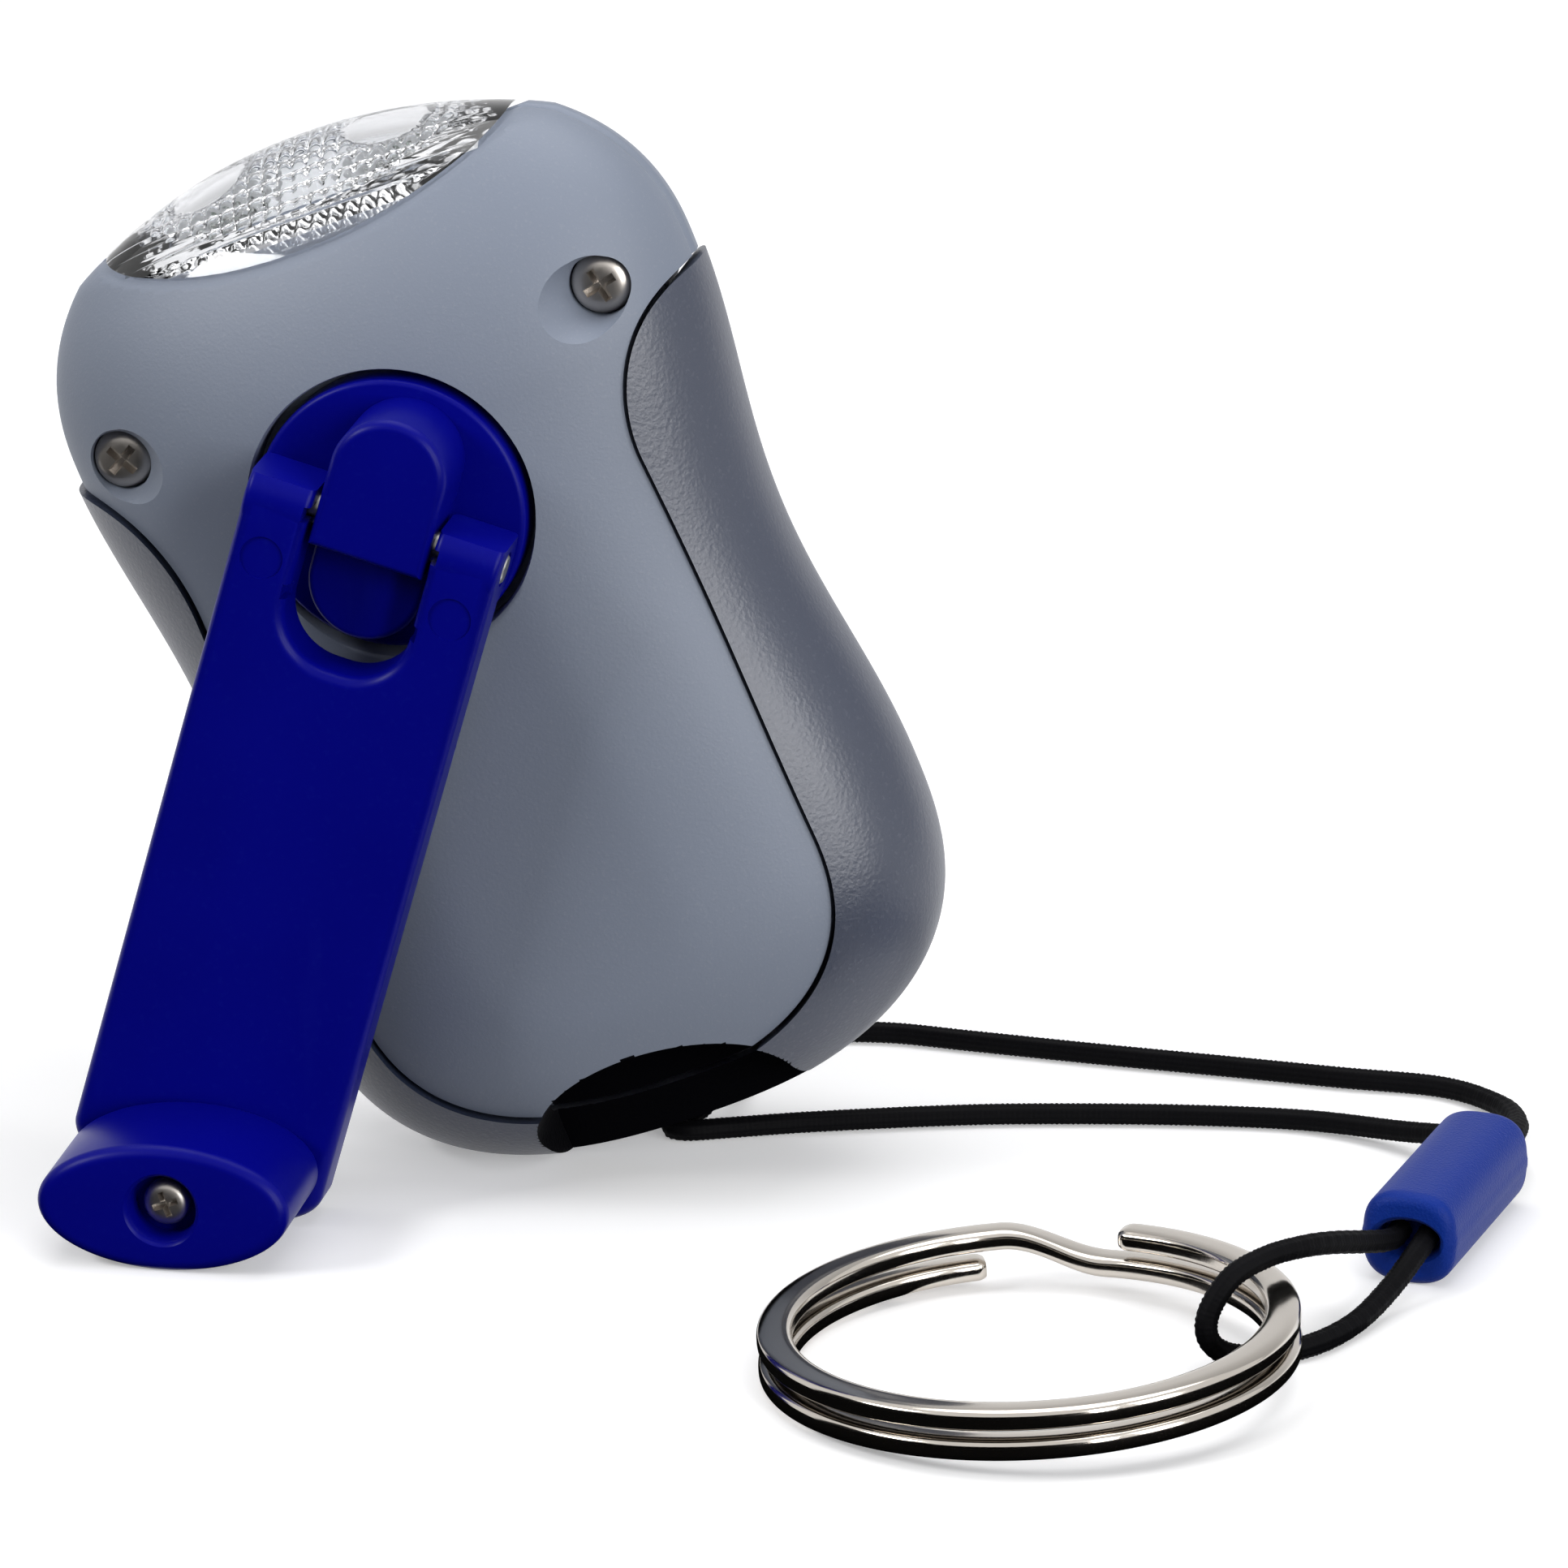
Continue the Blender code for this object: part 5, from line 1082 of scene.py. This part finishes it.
def makeRing():
    r = ringLook
    climb = r["height"] + r["turnGap"]
    middle = r["radius"] - r["width"] / 2
    start = r["kink"] + r["span"] / 2 + r["endGap"]
    level = 2 * math.pi - r["span"] - r["endGap"]
    full = 2 * level + r["span"]
    turn = np.linspace(0, full, 900)
    height = easeBetween(r["height"] / 2, r["height"] / 2 + climb, (turn - level) / r["span"])
    # Wire thins a little over its last half millimetre at each end, for the sheared and tumbled ends
    left = np.minimum(turn, full - turn) * middle
    thin = 1 - r["endThin"] * np.clip(1 - left / r["endRun"], 0, 1) ** 2
    lean = aroundTurn(40, 0.5)
    out = r["width"] / 2 * thin[:, None] * signedPower(np.cos(lean), r["squareness"])
    up = r["height"] / 2 * thin[:, None] * signedPower(np.sin(lean), r["squareness"])
    reach = middle + out
    angle = (start + turn)[:, None]
    grid = np.stack([reach * np.cos(angle), reach * np.sin(angle), height[:, None] + up], axis=-1)
    item = tubePiece("splitRing", grid, onRing, 50)
    return dress(item, "ring", nickelMaterial, "ring_nickel", "split_ring")


makeCords()
makeBead()
makeRing()
print("cords, bead and ring ready")


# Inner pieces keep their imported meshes
innerMaterials = (
    (lampMaterial, ("led_left", "led_right")),
    (boardMaterial, ("led_board", "circuit_board")),
    (blackMaterial, ("tact_switch", "magnet")),
    (gearMaterial, ("drive_gear", "gear_one", "gear_two", "rotor_pinion")),
    (steelMaterial, ("battery_cell", "axle_one", "axle_two", "gear_plate", "rotor_shaft", "stator_core")),
    (copperMaterial, ("coil",)),
)
for material, nodeNames in innerMaterials:
    for nodeName in nodeNames:
        found = frame["nodes"][nodeName]
        for item in found if isinstance(found, (list, tuple)) else [found]:
            item.data.materials.clear()
            item.data.materials.append(material)


# Studio: pale floor that runs up into a backdrop, a white world for the eye and a softer one for the light
stageLook = {
    "floor": (0.86, 0.86, 0.87), "bounce": (0.1, 0.1, 0.11), "glow": 0.3, "world": 0.34,
    "bend": 0.5, "front": -1.2, "back": 0.9, "half": 1.6, "top": 1.6,
}


# One where the eye, a mirror or clear plastic sees the surface, zero where it only gives light
def eyeMask(tree):
    path = tree.nodes.new("ShaderNodeLightPath")
    seen = addMath(tree, "ADD", path.outputs["Is Camera Ray"], path.outputs["Is Glossy Ray"], True)
    return addMath(tree, "ADD", seen, path.outputs["Is Transmission Ray"], True)


def makeFloor():
    s = stageLook
    turn = np.linspace(0, math.pi / 2, 16)
    y = np.concatenate([[s["front"]], s["back"] - s["bend"] + s["bend"] * np.sin(turn), [s["back"]]])
    z = np.concatenate([[0.0], s["bend"] * (1 - np.cos(turn)), [s["top"]]])
    rows = np.stack([np.stack([np.full_like(y, x), y, z], axis=1) for x in (-s["half"], s["half"])], axis=1)
    index = np.arange(len(y) * 2).reshape(-1, 2)
    faces = np.stack([index[:-1, 0], index[:-1, 1], index[1:, 1], index[1:, 0]], axis=-1).tolist()
    mesh = bpy.data.meshes.new("studioFloor")
    mesh.from_pydata(rows.reshape(-1, 3).tolist(), [], faces)
    mesh.shade_smooth()
    item = bpy.data.objects.new("studioFloor", mesh)
    bpy.context.scene.collection.objects.link(item)
    material, tree, shader = newMaterial("paleFloor")
    where = tree.nodes.new("ShaderNodeTexCoord").outputs["Object"]
    base = np.array(s["floor"])
    pale = addMix(tree, addNoise(tree, where, 3.0), base * 0.995, base)
    seen = eyeMask(tree)
    tree.links.new(addMix(tree, seen, s["bounce"], pale), shader.inputs["Base Color"])
    shader.inputs["Roughness"].default_value = 0.9
    shader.inputs["Specular IOR Level"].default_value = 0.1
    shader.inputs["Emission Color"].default_value = (1, 1, 1, 1)
    tree.links.new(addMath(tree, "MULTIPLY", seen, s["glow"]), shader.inputs["Emission Strength"])
    item.data.materials.append(material)


def makeWorld():
    world = bpy.data.worlds.new("studio")
    bpy.context.scene.world = world
    world.use_nodes = True
    tree = world.node_tree
    plain = tree.nodes["Background"]
    plain.inputs["Color"].default_value = (1, 1, 1, 1)
    plain.inputs["Strength"].default_value = stageLook["world"]
    bright = tree.nodes.new("ShaderNodeBackground")
    bright.inputs["Strength"].default_value = 1.0
    bright.inputs["Color"].default_value = (1, 1, 1, 1)
    mix = tree.nodes.new("ShaderNodeMixShader")
    tree.links.new(eyeMask(tree), mix.inputs["Fac"])
    tree.links.new(plain.outputs["Background"], mix.inputs[1])
    tree.links.new(bright.outputs["Background"], mix.inputs[2])
    tree.links.new(mix.outputs["Shader"], tree.nodes["World Output"].inputs["Surface"])


def areaLight(name, spot, aim, size, power):
    data = bpy.data.lights.new(name, "AREA")
    data.shape = "RECTANGLE"
    data.size, data.size_y = size
    data.energy = power
    item = bpy.data.objects.new(name, data)
    bpy.context.scene.collection.objects.link(item)
    item.location = spot
    ahead = np.array(aim) - np.array(spot)
    yaw = math.atan2(ahead[1], ahead[0])
    tilt = math.atan2(-np.hypot(ahead[0], ahead[1]), ahead[2])
    item.rotation_euler = (tilt + math.pi, 0, yaw - math.pi / 2)


# Black cards out of the picture, as a studio sets them, that keep pale haze off the plastics and streak the
# metal: a corner and two sides, in metres. The apron lies on the floor and is there for mirror rays alone.
cardSpots = {
    "apronCard": ((-0.7, -0.75, 0.0003), (1.4, 0, 0), (0, 0.735, 0)),
    "frontCard": ((-0.8, -0.78, 0.0), (1.6, 0, 0), (0, 0, 0.3)),
    "leftCard": ((-0.42, -0.75, 0.0), (0, 0.72, 0), (0, 0, 0.3)),
}


def makeCards():
    material, tree, shader = newMaterial("blackCard")
    shader.inputs["Base Color"].default_value = (0.004, 0.004, 0.004, 1)
    shader.inputs["Roughness"].default_value = 1.0
    shader.inputs["Specular IOR Level"].default_value = 0.0
    for name, (corner, first, second) in cardSpots.items():
        corner, first, second = np.array(corner), np.array(first), np.array(second)
        corners = np.array([corner, corner + first, corner + first + second, corner + second])
        mesh = bpy.data.meshes.new(name)
        mesh.from_pydata(corners.tolist(), [], [(0, 1, 2, 3)])
        item = bpy.data.objects.new(name, mesh)
        item.visible_camera = False
        if name == "apronCard":
            item.visible_diffuse = item.visible_shadow = False
        item.data.materials.append(material)
        bpy.context.scene.collection.objects.link(item)


# Each lamp's place, what it points at, its size in metres and its power in watts
lamps = {
    "topSoft": ((0.05, 0.12, 0.75), (0.0, 0.0, 0.02), (0.7, 0.55), 3.0),
    "leftFront": ((-0.58, -0.36, 0.42), (0.0, 0.0, 0.03), (0.3, 0.3), 5.2),
    "gripBand": ((0.48, -0.6, 0.2), (0.02, 0.0, 0.03), (0.1, 0.42), 2.0),
    "rightFill": ((0.62, -0.33, 0.26), (0.01, 0.0, 0.03), (0.22, 0.48), 2.0),
}

makeFloor()
makeWorld()
makeCards()
for name, settings in lamps.items():
    areaLight(name, *settings)
bpy.context.scene.view_settings.view_transform = "Standard"

print("scene ready")
